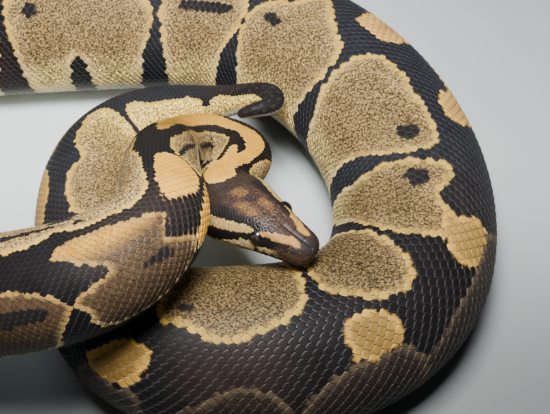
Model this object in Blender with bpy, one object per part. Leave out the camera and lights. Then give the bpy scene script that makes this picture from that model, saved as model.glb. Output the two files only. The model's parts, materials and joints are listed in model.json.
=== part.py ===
"""Coiled ball python, life size: a still, museum-style model in painted soft skin.

The animal lies in one loose spiral. Its neck folds back over the hind body, and the chin
is carried over the inner shoulder of the trunk. The body is one tube that follows the
backbone; thin cuts divide it into neck, forebody, trunk and tail lengths. The head is the
front of the same tube with broader, squarer sections; the lower jaw is parted from it along
the mouth line, and each eye is a ball in its own socket. Units in the tables are millimetres.
"""
import math

import bmesh
import bpy
import numpy as np
from mathutils import Vector

MM = 0.001
GAP = 0.3            # clear cut between neighbouring pieces
SKIN_ROUGHNESS = 0.42
PRESS = 0.6          # how far the soft belly is pressed flat by the floor
BELLY = 0.92         # depth of the body below its axis, as a share of its girth radius
BACK = 0.96          # height of the back above the axis
FLANK = 1.03         # half-width of the body
FLOOR = -PRESS       # belly height of a stretch that lies on the floor

HEAD = 38.0          # snout to the back of the jaws
LIP_FLARE = 0.13     # how much wider the lips are than the head at axis level
NOSE = 5.0           # rounded front of the snout
NOSE_POWER = 2.6
MOUTH_BACK = 28.0    # corner of the mouth behind the snout
THROAT = 31.0        # where the lower jaw ends under the throat
EYE_AT = (14.5, 5.5, 1.8)    # behind the snout, off the midline, above the axis
EYE_RADIUS = 2.3
SHOULDER = 140.0     # end of the neck
RIBCAGE = 250.0      # end of the forebody
VENT = 790.0         # end of the trunk

LENGTH_MAX = 70.0    # longest length
FACET_TURN = 11.0    # most that one facet row bends, degrees
FACET_LENGTH = 6.5

# The backbone from snout to tail tip, where each row is
# x, y, height of the belly over the floor, girth radius.
COURSE = [
    (10.6, -36.6, 41.9, 3.6),           # snout
    (-7.0, -22.8, 34.4, 11.0),          # jaws
    (-14.0, -13.4, 31.8, 8.5),          # nape
    (-14.0, -3.8, 27.8, 8.2),
    (-9.6, 7.0, 22.6, 8.4),             # right side of the neck loop
    (-13.6, 15.4, 17.8, 8.6),
    (-22.2, 17.8, 17.0, 9.0),           # far side of the neck loop
    (-29.6, 11.4, 22.2, 9.3),
    (-31.6, -2.6, 34.6, 10.0),
    (-29.8, -21.6, 46.0, 11.0),         # neck lies over the nape
    (-29.2, -34.6, 48.2, 12.4),
    (-35.4, -44.0, 46.2, 13.8),         # forebody on top of the hind body
    (-46.6, -49.2, 42.2, 14.8),
    (-70.0, -48.6, 30.5, 15.9),
    (-94.0, -45.5, 17.0, 17.2),
    (-120.0, -37.6, 6.0, 18.6),         # comes down to the floor
    (-150.0, -14.0, FLOOR, 19.7),
    (-162.0, 19.0, FLOOR, 20.7),
    (-150.0, 52.0, FLOOR, 21.6),
    (-97.0, 71.4, FLOOR, 22.5),         # far run of the trunk
    (-60.0, 74.6, FLOOR, 23.1),
    (-29.0, 74.8, FLOOR, 23.4),
    (-1.7, 66.8, FLOOR, 23.6),
    (19.5, 50.2, FLOOR, 23.9),
    (36.0, 23.5, FLOOR, 24.0),          # thickest, at the right
    (41.7, -9.0, FLOOR, 23.7),
    (35.0, -32.4, FLOOR, 23.3),
    (18.3, -46.4, FLOOR, 23.1),
    (-8.2, -51.6, FLOOR, 22.9),         # near run
    (-31.0, -48.4, FLOOR, 21.5),
    (-45.0, -37.4, FLOOR, 19.4),        # passes under the forebody
    (-53.4, -18.6, FLOOR, 17.6),
    (-57.9, 4.0, FLOOR, 16.0),
    (-55.8, 23.0, FLOOR, 14.2),
    (-47.6, 34.2, 1.6, 12.0),           # vent
    (-37.0, 38.0, 7.5, 9.2),
    (-25.5, 37.6, 13.5, 6.9),           # tail climbs the flank of the trunk
    (-14.6, 35.2, 20.2, 5.2),
    (-5.2, 31.6, 28.0, 4.1),
    (-0.8, 28.6, 31.4, 3.4),            # tip hooks back
    (-0.8, 23.8, 33.4, 2.9),
    (-5.4, 21.4, 34.4, 2.4),
    (-11.6, 20.6, 33.4, 1.4),
]
BOX_CENTRE = (-58.58, 12.12)      # middle of the model's box in the table's own x and y

# Regions behind the head: name, where it ends, most that one length of it bends in
# degrees, facets round it, and its mean skin colour. None ends where the tail does.
REGIONS = [
    ("neck", SHOULDER, 55, 16, (0.15, 0.10, 0.05)),
    ("forebody", RIBCAGE, 42, 20, (0.17, 0.12, 0.07)),
    ("trunk", VENT, 42, 20, (0.22, 0.16, 0.09)),
    ("tail", None, 85, 12, (0.12, 0.09, 0.06)),
]

# Head sections: behind the snout, half-width, above the axis, below it, squareness.
HEAD_SHAPE = [
    (0.0, 4.7, 3.2, 3.7, 2.8),
    (6.0, 5.5, 3.9, 4.6, 2.8),
    (10.0, 6.3, 4.7, 5.3, 2.8),
    (15.0, 7.6, 5.6, 5.9, 2.7),          # eyes
    (20.0, 9.2, 6.2, 6.2, 2.6),
    (26.0, 10.9, 6.8, 6.8, 2.4),
    (30.0, 11.2, 7.2, 7.1, 2.2),         # jaw muscles
    (34.0, 10.4, 7.7, 7.5, 2.1),
    (38.0, 8.8, 8.2, 7.8, 2.0),
]
# Mouth line from the side: behind the snout, above the axis.
MOUTH = [(-2.0, -1.5), (3.0, -1.8), (9.0, -2.7), (16.0, -2.9), (23.0, -2.2),
         (MOUTH_BACK, -2.4)]


def cubic(knots, values, at):
    """Natural cubic spline through values at knots, read at the places given."""
    n = len(knots)
    step = np.diff(knots)
    system = np.zeros((n, n))
    right = np.zeros_like(values)
    system[0, 0] = system[-1, -1] = 1.0
    for i in range(1, n - 1):
        system[i, i - 1:i + 2] = step[i - 1], 2 * (step[i - 1] + step[i]), step[i]
        right[i] = 6 * ((values[i + 1] - values[i]) / step[i]
                        - (values[i] - values[i - 1]) / step[i - 1])
    bow = np.linalg.solve(system, right)
    i = np.clip(np.searchsorted(knots, at) - 1, 0, n - 2)
    h = step[i][:, None]
    a, b = (knots[i + 1] - at)[:, None], (at - knots[i])[:, None]
    return ((bow[i] * a**3 + bow[i + 1] * b**3) / (6 * h)
            + (values[i] / h - bow[i] * h / 6) * a
            + (values[i + 1] / h - bow[i + 1] * h / 6) * b)


class Backbone:
    """The curve of the course, with a frame and a girth at every millimetre."""

    def __init__(self, rows):
        rows = np.array(rows, float)
        points = np.column_stack([rows[:, 0] - BOX_CENTRE[0], rows[:, 1] - BOX_CENTRE[1],
                                  rows[:, 2] + BELLY * rows[:, 3], rows[:, 3]])
        chord = np.r_[0, np.cumsum(np.linalg.norm(np.diff(points[:, :3], axis=0), axis=1))]
        fine = np.linspace(0, chord[-1], 6000)
        curve = cubic(chord, points, fine)
        run = np.r_[0, np.cumsum(np.linalg.norm(np.diff(curve[:, :3], axis=0), axis=1))]
        self.length = run[-1]
        self.s = np.linspace(0, self.length, int(self.length) + 1)
        curve = cubic(chord, points, np.interp(self.s, run, fine))
        self.centre, self.girth = curve[:, :3], curve[:, 3]
        along = np.gradient(self.centre, self.s, axis=0)
        self.along = along / np.linalg.norm(along, axis=1)[:, None]
        turn = np.degrees(np.linalg.norm(np.diff(self.along, axis=0), axis=1))
        self.turned = np.r_[0, np.cumsum(turn)]

    def at(self, s, values):
        if values.ndim == 1:
            return np.interp(s, self.s, values)
        return np.array([np.interp(s, self.s, column) for column in values.T])

    def frame(self, s):
        """Centre of the body and the directions of its left side and back."""
        along = self.at(s, self.along)
        side = np.cross(along, (0, 0, 1))
        side /= np.linalg.norm(side)
        return self.at(s, self.centre), side, np.cross(side, along)

    def place(self, s, out, above):
        centre, side, back = self.frame(s)
        return centre + side * out + back * above


def head_section(u):
    """Half-width, height, depth and squareness of the head at u behind the snout."""
    table = np.array(HEAD_SHAPE)
    width, top, under, square = cubic(table[:, 0], table[:, 1:], np.array([u]))[0]
    if u < NOSE:
        nose = (1 - (1 - u / NOSE) ** NOSE_POWER) ** (1 / NOSE_POWER)
        width, top, under = width * nose, top * nose, under * nose
    return width, top, under, square


def ring(body, s, sides):
    """Points round the body at s, with a flat facet underneath."""
    if s < HEAD:
        width, top, under, square = head_section(s)
    else:
        girth = body.at(s, body.girth)
        width, top, under, square = FLANK * girth, BACK * girth, BELLY * girth, 2.0
    flare = LIP_FLARE * min(1.0, max(0.0, (HEAD - s) / (HEAD - MOUTH_BACK)))
    points = []
    for k in range(sides):
        angle = 2 * math.pi * (k + 0.5) / sides
        sine, cosine = math.sin(angle), math.cos(angle)
        out = width * math.copysign(abs(sine) ** (2 / square), sine)
        above = (top if cosine > 0 else under) * math.copysign(abs(cosine) ** (2 / square),
                                                               cosine)
        out *= 1 - flare * above / under
        x, y, z = body.place(s, out, above)
        points.append((x, y, max(z, 0.0)))
    return points


def material(name, colour, roughness):
    mat = bpy.data.materials.new(name)
    mat.use_nodes = True
    shader = mat.node_tree.nodes["Principled BSDF"]
    shader.inputs["Base Color"].default_value = (*colour, 1.0)
    shader.inputs["Roughness"].default_value = roughness
    return mat


def loft(name, rings, centre):
    """Closed skin over a row of rings, drawn in metres about the point given."""
    bm = bmesh.new()
    rows = [[bm.verts.new((Vector(p) - Vector(centre)) * MM) for p in points]
            for points in rings]
    sides = len(rows[0])
    for first, second in zip(rows, rows[1:]):
        for k in range(sides):
            j = (k + 1) % sides
            bm.faces.new((first[k], second[k], second[j], first[j]))
    bm.faces.new(rows[0])
    bm.faces.new(rows[-1][::-1])
    bmesh.ops.recalc_face_normals(bm, faces=bm.faces)
    mesh = bpy.data.meshes.new(name)
    bm.to_mesh(mesh)
    bm.free()
    mesh.shade_smooth()
    mesh.set_sharp_from_angle(angle=math.radians(40))
    return mesh


def put(name, mesh, mat, centre, collection, parent=None):
    """One object, placed by its location, under its parent empty."""
    obj = bpy.data.objects.new(name, mesh)
    obj.location = Vector(centre) * MM
    obj.parent = parent
    if mat:
        mesh.materials.append(mat)
    collection.objects.link(obj)
    return obj


def cut_with(obj, operation, cutter):
    modifier = obj.modifiers.new(cutter.name, "BOOLEAN")
    modifier.operation = operation
    modifier.solver = "EXACT"
    modifier.object = cutter


def guide(name, mesh, centre, cutters):
    obj = put(name, mesh, None, centre, cutters)
    obj.hide_render = True
    obj.display_type = "WIRE"
    return obj


def mouth_cutter(body, name, grow, cutters):
    """Side outline of the lower jaw, as a wide prism; grow widens it past the mouth line."""
    outline = [(u, above + grow) for u, above in MOUTH]
    outline[-1] = (MOUTH_BACK + grow, outline[-1][1])
    outline += [(THROAT + grow, -12.0), (-2.0, -12.0)]
    middle = MOUTH_BACK / 2
    centre, side, back = body.frame(middle)
    along = np.cross(back, side)
    ends = [[centre + along * (u - middle) + side * half + back * above
             for u, above in outline] for half in (-18.0, 18.0)]
    return guide(name, loft(name, ends, centre), centre, cutters)


def eye(body, name, hand, radius):
    """A ball in the side of the head, with its centre and its mesh."""
    u, out, above = EYE_AT
    centre = body.place(u, hand * out, above)
    bm = bmesh.new()
    bmesh.ops.create_uvsphere(bm, u_segments=18, v_segments=12, radius=radius * MM)
    mesh = bpy.data.meshes.new(name)
    bm.to_mesh(mesh)
    bm.free()
    mesh.shade_smooth()
    return centre, mesh


def head_and_jaw(body, collection, cutters, parent):
    """Upper head with eye sockets, the lower jaw under the mouth line, and both eyes."""
    nose = [NOSE * (1 - math.cos(a)) for a in np.radians([14, 32, 50, 70, 90])]
    places = nose + [7.5, 10, 12.5, 15, 17.5, 20, 23, 26, 29, 32, 35, HEAD - GAP / 2]
    rings = [ring(body, u, 28) for u in places]
    centre = body.place(HEAD / 2, 0, 0)
    head = put("head", loft("head", rings, centre),
               material("crown", (0.13, 0.085, 0.055), 0.45), centre, collection, parent)
    jaw = put("lower_jaw", loft("lower_jaw", rings, centre),
              material("chin", (0.42, 0.35, 0.24), 0.5), centre, collection, parent)
    cut_with(head, "DIFFERENCE", mouth_cutter(body, "mouth_gap", GAP / 2, cutters))
    cut_with(jaw, "INTERSECT", mouth_cutter(body, "jaw_outline", -GAP / 2, cutters))
    for name, hand in (("eye_left", 1), ("eye_right", -1)):
        place, ball = eye(body, name, hand, EYE_RADIUS)
        put(name, ball, material(name, (0.012, 0.01, 0.009), 0.06), place, collection, parent)
        place, hole = eye(body, name + "_socket", hand, EYE_RADIUS + GAP)
        cut_with(head, "DIFFERENCE", guide(name + "_socket", hole, place, cutters))


def lengths(body, start, end, turn_max):
    """Cuts from start to end, so that no length is too long or bends too far."""
    effort = body.turned / turn_max + body.s / LENGTH_MAX
    turn = body.at(end, body.turned) - body.at(start, body.turned)
    count = math.ceil(max(turn / turn_max, (end - start) / LENGTH_MAX))
    marks = np.linspace(body.at(start, effort), body.at(end, effort), count + 1)
    return np.interp(marks, effort, body.s)


def body_length(body, name, start, end, sides):
    """One length of the body between two cuts, with its middle."""
    last = body.length - 0.6
    start, end = start + GAP / 2, min(end - GAP / 2, last)
    turn = body.at(end, body.turned) - body.at(start, body.turned)
    rows = math.ceil(max(turn / FACET_TURN, (end - start) / FACET_LENGTH))
    places = np.linspace(start, end, rows + 1)
    centre = body.at((start + end) / 2, body.centre)
    return centre, loft(name, [ring(body, s, sides) for s in places], centre)


def build():
    for obj in list(bpy.data.objects):
        bpy.data.objects.remove(obj, do_unlink=True)
    collection = bpy.data.collections.new("ball_python")
    cutters = bpy.data.collections.new("cutters")
    for group in (collection, cutters):
        bpy.context.scene.collection.children.link(group)
    base = bpy.data.objects.new("ball_python_base", None)
    collection.objects.link(base)

    body = Backbone(COURSE)
    head_and_jaw(body, collection, cutters, base)
    start = HEAD
    for region, end, turn_max, sides, colour in REGIONS:
        cuts = lengths(body, start, end or body.length, turn_max)
        for k in range(len(cuts) - 1):
            name = f"{region}_{k + 1}"
            centre, mesh = body_length(body, name, cuts[k], cuts[k + 1], sides)
            put(name, mesh, material(name, colour, SKIN_ROUGHNESS), centre, collection, base)
        start = end


build()
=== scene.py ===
# %% [markdown]
# # A coiled ball python
# A ball python at rest, life size, as a museum would show it. The frame holds the plain
# solids: head, jaw, eyes and the lengths of the body. This lesson dresses them in one skin
# and in thousands of small scales, each a solid of its own. Everything follows one idea:
# a place on the snake is told by two numbers, s, how many millimetres behind the snout, and
# t, how many degrees round from the middle of the back, with the left flank above zero.

import json
import math

import bmesh
import bpy
import numpy as np
from mathutils.kdtree import KDTree
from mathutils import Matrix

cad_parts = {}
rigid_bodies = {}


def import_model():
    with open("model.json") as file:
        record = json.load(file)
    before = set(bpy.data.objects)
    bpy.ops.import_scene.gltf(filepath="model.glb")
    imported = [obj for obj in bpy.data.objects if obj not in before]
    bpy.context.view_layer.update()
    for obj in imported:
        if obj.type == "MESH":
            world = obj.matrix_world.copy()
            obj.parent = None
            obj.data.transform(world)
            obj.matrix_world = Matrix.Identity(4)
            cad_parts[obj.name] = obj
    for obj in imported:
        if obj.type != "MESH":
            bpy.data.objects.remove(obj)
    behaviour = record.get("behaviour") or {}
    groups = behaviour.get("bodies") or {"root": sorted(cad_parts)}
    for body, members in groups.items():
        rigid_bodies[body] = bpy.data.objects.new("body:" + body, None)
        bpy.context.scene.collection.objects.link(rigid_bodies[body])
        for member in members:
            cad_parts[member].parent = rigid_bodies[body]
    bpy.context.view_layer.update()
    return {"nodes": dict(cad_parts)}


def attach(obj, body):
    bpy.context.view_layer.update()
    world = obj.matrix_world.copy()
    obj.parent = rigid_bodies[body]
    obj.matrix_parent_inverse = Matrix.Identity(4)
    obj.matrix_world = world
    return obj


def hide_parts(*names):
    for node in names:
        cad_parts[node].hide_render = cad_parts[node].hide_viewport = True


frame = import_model()
MM = 0.001

# %% [markdown]
# ## Small helpers
# Objects and nodes are made the same way all through the lesson, so a few short functions
# do it. One puts an object into the scene, one starts a material, and the others add nodes
# to a tree, each fed by plain values or by other nodes.

# %% Small helpers
def placed(name, data):
    """A new object, linked into the scene."""
    thing = bpy.data.objects.new(name, data)
    bpy.context.scene.collection.objects.link(thing)
    return thing


def new_material(name):
    """A new material, its node tree and its main shader."""
    material = bpy.data.materials.new(name)
    material.use_nodes = True
    return material, material.node_tree, material.node_tree.nodes["Principled BSDF"]


def feed(tree, value, socket):
    """Joins a socket to another node's, or sets it to a plain value."""
    if isinstance(value, bpy.types.NodeSocket):
        tree.links.new(value, socket)
    else:
        socket.default_value = value


def linked(tree, kind, **inputs):
    """A new node with its sockets fed, by name, or by number as in _0."""
    node = tree.nodes.new(kind)
    for name, value in inputs.items():
        slot = int(name[1:]) if name[0] == "_" else name.replace("_", " ")
        feed(tree, value, node.inputs[slot])
    return node


def maths(tree, operation, *values):
    node = linked(tree, "ShaderNodeMath", **{f"_{k}": v for k, v in enumerate(values)})
    node.operation = operation
    return node.outputs[0]


def vector(tree, operation, first, second):
    """A sum over vectors. SCALE takes a number second, and DISTANCE gives one."""
    node = tree.nodes.new("ShaderNodeVectorMath")
    node.operation = operation
    feed(tree, first, node.inputs[0])
    feed(tree, second, node.inputs["Scale" if operation == "SCALE" else 1])
    return node.outputs["Value" if operation == "DISTANCE" else "Vector"]


def blend(tree, mode, share, first, second):
    node = tree.nodes.new("ShaderNodeMix")
    node.data_type, node.blend_type = "RGBA", mode
    for slot, value in ((0, share), (6, first), (7, second)):
        feed(tree, value, node.inputs[slot])
    return node.outputs[2]


def ramp(tree, fac, *stops):
    """A grey ramp through stops of place and grey."""
    node = linked(tree, "ShaderNodeValToRGB", Fac=fac)
    elements = node.color_ramp.elements
    while len(elements) < len(stops):
        elements.new(0.5)
    for element, (place, grey) in zip(elements, stops):
        element.position = place
        element.color = (grey, grey, grey, 1)
    return node.outputs["Color"]


def own_place(tree):
    """Where a point lies, in metres, in the object's own space."""
    return tree.nodes.new("ShaderNodeTexCoord").outputs["Object"]


def stored(tree, name):
    """Outputs of a node that reads what the mesh keeps under a name."""
    node = tree.nodes.new("ShaderNodeAttribute")
    node.attribute_name = name
    return node.outputs


print("helpers for objects, materials and nodes are ready")

# %% [markdown]
# ## Floor, light and camera
# The snake lies on a plain pale board. One wide lamp hangs almost over it, a little toward
# us, so that the shadows are soft and short. A bluish one behind and the grey world only
# lift the shadows. The lamps alone don't give the whole fall of light, so the board itself
# is painted darker toward us, to the right and under the tail. The camera looks down at 55
# degrees.

# %% Floor, light and camera
LOOK_AT = (58.58, -12.12, 15.0)
CAMERA_RISE = math.radians(55)
CAMERA_AWAY = 286.0
BOARD = (0.445, 0.485, 0.495)
BOARD_DRIFT = ((0.0, 0.97), (1.0, 1.03))  # how far its tone wanders
DEEP_SHADE = (0.060, 0.029, 0.0)         # the darkest spot, under the tail, in metres
# painted light and shade on the board: lighter to the left, darker toward us and under the tail
BOARD_PAINTED_LIGHT = (                          # from, to in metres, how light at either end
    (-0.03, 0.15, 1.65, 1.0),            # left to right
    (-0.078, 0.026, 0.26, 1.0),          # near to far
    (0.004, 0.027, 0.26, 1.0),           # away from the deep shade
)


def board_material(name, roughness):
    """Matt board whose colour wanders a little, with painted light and shade as the table says."""
    material, tree, shader = new_material(name)
    shader.inputs["Roughness"].default_value = roughness
    place = own_place(tree)
    noise = linked(tree, "ShaderNodeTexNoise", Vector=place, Scale=9.0)
    colour = vector(tree, "MULTIPLY", ramp(tree, noise.outputs["Fac"], *BOARD_DRIFT), BOARD)
    apart = linked(tree, "ShaderNodeSeparateXYZ", Vector=place).outputs
    ways = apart["X"], apart["Y"], vector(tree, "DISTANCE", place, DEEP_SHADE)
    for way, (low, high, at_low, at_high) in zip(ways, BOARD_PAINTED_LIGHT):
        fade = linked(tree, "ShaderNodeMapRange", Value=way, From_Min=low, From_Max=high,
                      To_Min=at_low, To_Max=at_high)
        fade.interpolation_type = "SMOOTHSTEP"
        colour = vector(tree, "SCALE", colour, fade.outputs["Result"])
    tree.links.new(colour, shader.inputs["Base Color"])
    return material


def lamp(name, place, size, power, colour):
    """A square lamp that looks at the middle of the coil."""
    light = bpy.data.lights.new(name, "AREA")
    light.size = size * MM
    light.energy = power
    light.color = colour
    holder = placed(name, light)
    holder.location = [c * MM for c in place]
    aim = np.array(place) - np.array((0.0, 0.0, 20.0))
    holder.rotation_euler = (math.acos(aim[2] / np.linalg.norm(aim)), 0,
                             math.atan2(aim[1], aim[0]) + math.pi / 2)


bpy.ops.mesh.primitive_plane_add(size=3.0)
floor = bpy.context.object
floor.name = "floor"
floor.data.materials.append(board_material("pale_floor", 0.65))

lamp("key_lamp", (50, -60, 340), 110, 3.2, (1.0, 0.99, 0.965))
lamp("fill_lamp", (-120, 300, 300), 240, 0.42, (0.70, 0.85, 1.0))
world = bpy.data.worlds.new("studio")
world.use_nodes = True
sky = world.node_tree.nodes["Background"].inputs
sky["Color"].default_value = (0.86, 0.90, 0.95, 1)
sky["Strength"].default_value = 0.055
bpy.context.scene.world = world

lens = bpy.data.cameras.new("camera")
lens.lens, lens.sensor_width, lens.sensor_fit = 60.0, 36.0, "HORIZONTAL"
camera = placed("camera", lens)
camera.location = (LOOK_AT[0] * MM,
                   (LOOK_AT[1] - CAMERA_AWAY * math.cos(CAMERA_RISE)) * MM,
                   (LOOK_AT[2] + CAMERA_AWAY * math.sin(CAMERA_RISE)) * MM)
camera.rotation_euler = (math.pi / 2 - CAMERA_RISE, 0, 0)
bpy.context.scene.camera = camera
print("camera at", tuple(round(c, 4) for c in camera.location))

# %% [markdown]
# ## The backbone
# The whole animal hangs on one curve from snout to tail tip. The rows give its way over
# the floor, as the solids have it: x, y, how high the belly is, and the girth
# radius. A natural cubic spline runs through them, and beside every millimetre of it we
# keep the direction, so that any place on the body can be found by sums alone.

# %% The backbone
BELLY, BACK, FLANK = 0.92, 0.96, 1.03    # depth, height and half-width over the girth
FLOOR = -0.6                             # the soft belly is pressed flat by this much
BOX_CENTRE = (-58.58, 12.12)
HEAD, SHOULDER, RIBCAGE, VENT = 38.0, 140.0, 250.0, 790.0
COURSE = [
    (10.6, -36.6, 41.9, 3.6), (-7.0, -22.8, 34.4, 11.0),        # snout, jaws
    (-14.0, -13.4, 31.8, 8.5), (-14.0, -3.8, 27.8, 8.2),        # nape
    (-9.6, 7.0, 22.6, 8.4), (-13.6, 15.4, 17.8, 8.6),           # neck loop
    (-22.2, 17.8, 17.0, 9.0), (-29.6, 11.4, 22.2, 9.3),
    (-31.6, -2.6, 34.6, 10.0), (-29.8, -21.6, 46.0, 11.0),      # neck lies over the nape
    (-29.2, -34.6, 48.2, 12.4), (-35.4, -44.0, 46.2, 13.8),     # forebody on the hind body
    (-46.6, -49.2, 42.2, 14.8), (-70.0, -48.6, 30.5, 15.9),
    (-94.0, -45.5, 17.0, 17.2), (-120.0, -37.6, 6.0, 18.6),
    (-150.0, -14.0, FLOOR, 19.7), (-162.0, 19.0, FLOOR, 20.7),  # turn at the left
    (-150.0, 52.0, FLOOR, 21.6), (-97.0, 71.4, FLOOR, 22.5),    # far run of the trunk
    (-60.0, 74.6, FLOOR, 23.1), (-29.0, 74.8, FLOOR, 23.4),
    (-1.7, 66.8, FLOOR, 23.6), (19.5, 50.2, FLOOR, 23.9),
    (36.0, 23.5, FLOOR, 24.0), (41.7, -9.0, FLOOR, 23.7),       # thickest, at the right
    (35.0, -32.4, FLOOR, 23.3), (18.3, -46.4, FLOOR, 23.1),
    (-8.2, -51.6, FLOOR, 22.9), (-31.0, -48.4, FLOOR, 21.5),    # near run
    (-45.0, -37.4, FLOOR, 19.4), (-53.4, -18.6, FLOOR, 17.6),   # under the forebody
    (-57.9, 4.0, FLOOR, 16.0), (-55.8, 23.0, FLOOR, 14.2),
    (-47.6, 34.2, 1.6, 12.0), (-37.0, 38.0, 7.5, 9.2),          # vent
    (-25.5, 37.6, 13.5, 6.9), (-14.6, 35.2, 20.2, 5.2),         # tail climbs the trunk
    (-5.2, 31.6, 28.0, 4.1), (-0.8, 28.6, 31.4, 3.4),           # tip hooks back
    (-0.8, 23.8, 33.4, 2.9), (-5.4, 21.4, 34.4, 2.4), (-11.6, 20.6, 33.4, 1.4),
]


def cubic(knots, values, at):
    """Natural cubic spline through values at knots, read at the places given."""
    n = len(knots)
    step = np.diff(knots)
    system = np.zeros((n, n))
    right = np.zeros_like(values)
    system[0, 0] = system[-1, -1] = 1.0
    for i in range(1, n - 1):
        system[i, i - 1:i + 2] = step[i - 1], 2 * (step[i - 1] + step[i]), step[i]
        right[i] = 6 * ((values[i + 1] - values[i]) / step[i]
                        - (values[i] - values[i - 1]) / step[i - 1])
    bow = np.linalg.solve(system, right)
    i = np.clip(np.searchsorted(knots, at) - 1, 0, n - 2)
    h = step[i][:, None]
    a, b = (knots[i + 1] - at)[:, None], (at - knots[i])[:, None]
    return ((bow[i] * a**3 + bow[i + 1] * b**3) / (6 * h)
            + (values[i] / h - bow[i] * h / 6) * a
            + (values[i + 1] / h - bow[i + 1] * h / 6) * b)


def read(s, values):
    """Columns kept beside the backbone, at any places s."""
    return np.stack([np.interp(s, SPINE, column) for column in values.T], -1)


rows = np.array(COURSE)
knots = np.column_stack([rows[:, 0] - BOX_CENTRE[0], rows[:, 1] - BOX_CENTRE[1],
                         rows[:, 2] + BELLY * rows[:, 3], rows[:, 3]])
chord = np.r_[0, np.cumsum(np.linalg.norm(np.diff(knots[:, :3], axis=0), axis=1))]
fine = np.linspace(0, chord[-1], 6000)
curve = cubic(chord, knots, fine)
run = np.r_[0, np.cumsum(np.linalg.norm(np.diff(curve[:, :3], axis=0), axis=1))]
LENGTH = run[-1]
SPINE = np.linspace(0, LENGTH, int(LENGTH) + 1)
curve = cubic(chord, knots, np.interp(SPINE, run, fine))
CENTRES, GIRTHS = curve[:, :3], curve[:, 3]
ALONG = np.gradient(CENTRES, SPINE, axis=0)
ALONG /= np.linalg.norm(ALONG, axis=1)[:, None]
print(f"backbone: {LENGTH:.0f} mm long, girth radius up to {GIRTHS.max():.1f} mm")

# %% [markdown]
# ## Sections
# Behind the head every section is nearly a circle. The head needs squarer ones: a flat
# crown, upright cheeks, lips wider than the brow. A superellipse does both, since its one
# power turns a circle into a rounded box. The back of the animal also rolls a little to
# one side or the other along its way, so a short table turns t before it is used.

# %% Sections
LIP_FLARE, MOUTH_BACK = 0.13, 28.0
NOSE, NOSE_POWER = 5.0, 2.6
TIP = 2.2                                # rounded end of the tail
HEAD_SHAPE = np.array([                  # s, half-width, top, under, squareness
    (0.0, 4.7, 3.2, 3.7, 2.8), (6.0, 5.5, 3.9, 4.6, 2.8), (10.0, 6.3, 4.7, 5.3, 2.8),
    (15.0, 7.6, 5.6, 5.9, 2.7), (20.0, 9.2, 6.2, 6.2, 2.6), (26.0, 10.9, 6.8, 6.8, 2.4),
    (30.0, 11.2, 7.2, 7.1, 2.2), (34.0, 10.4, 7.7, 7.5, 2.1), (38.0, 8.8, 8.2, 7.8, 2.0),
])
ROLL = np.array([                        # s, degrees that the back rolls to the left
    (38, 0), (48, 25), (60, 40), (78, 20), (95, 0), (200, 0), (380, -10), (440, -12),
    (520, -20), (590, -26), (640, -32), (690, -32), (740, -20), (790, -10), (840, 0),
])


def section(s):
    """Half-width, height, depth and squareness of the body at the places s."""
    s = np.asarray(s, float)
    girth = np.interp(s, SPINE, GIRTHS)
    end = np.clip((LENGTH - s) / TIP, 0, 1)
    girth = girth * np.sqrt(1 - (1 - end) ** 2)
    shape = np.stack([FLANK * girth, BACK * girth, BELLY * girth, np.full(s.shape, 2.0)], -1)
    front = s < HEAD
    if front.any():
        u = s[front]
        shape[front] = cubic(HEAD_SHAPE[:, 0], HEAD_SHAPE[:, 1:], u)
        nose = (1 - (1 - np.clip(u / NOSE, 0, 1)) ** NOSE_POWER) ** (1 / NOSE_POWER)
        shape[front, :3] *= nose[:, None]
    return np.moveaxis(shape, -1, 0)


def body_frame(s):
    """Centre of the body and the directions of its left side and back."""
    along = read(s, ALONG)
    side = np.cross(along, (0, 0, 1))
    side /= np.linalg.norm(side, axis=-1, keepdims=True)
    return read(s, CENTRES), side, np.cross(side, along)


def offsets(s, t):
    """How far out to the left and how far above the axis a place lies."""
    width, top, under, square = section(s)
    turn = np.radians(t + np.interp(s, ROLL[:, 0], ROLL[:, 1]))
    sine, cosine = np.sin(turn), np.cos(turn)
    out = width * np.sign(sine) * np.abs(sine) ** (2 / square)
    above = np.where(cosine > 0, top, under)
    above = above * np.sign(cosine) * np.abs(cosine) ** (2 / square)
    flare = LIP_FLARE * np.clip((HEAD - s) / (HEAD - MOUTH_BACK), 0, 1)
    return out * (1 - flare * above / np.maximum(under, 1e-6)), above


def surface(s, t):
    """Points on the outside of the animal, in millimetres, none below the floor."""
    s, t = np.broadcast_arrays(np.asarray(s, float), np.asarray(t, float))
    s = np.clip(s, 1e-4, LENGTH)
    centre, side, back = body_frame(s)
    out, above = offsets(s, t)
    points = centre + out[..., None] * side + above[..., None] * back
    points[..., 2] = np.maximum(points[..., 2], 0.0)
    return points


def unit(vectors):
    return vectors / np.maximum(np.linalg.norm(vectors, axis=-1, keepdims=True), 1e-9)


def outward(s, t):
    """Direction straight out of the surface."""
    ahead = surface(s + 0.15, t) - surface(s - 0.15, t)
    around = surface(s, t + 1.0) - surface(s, t - 1.0)
    return unit(np.cross(around, ahead))


def reach(s):
    """Mean radius of the body."""
    width, top, under, _ = section(s)
    return 0.5 * width + 0.25 * (top + under)


def reach_at(s):
    """The same at one place only, as a plain number."""
    return float(reach(np.array([s]))[0])


print("radius at eyes, nape, mid-body:", np.round(reach(np.array([15.0, 40.0, 560.0])), 1))
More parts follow.
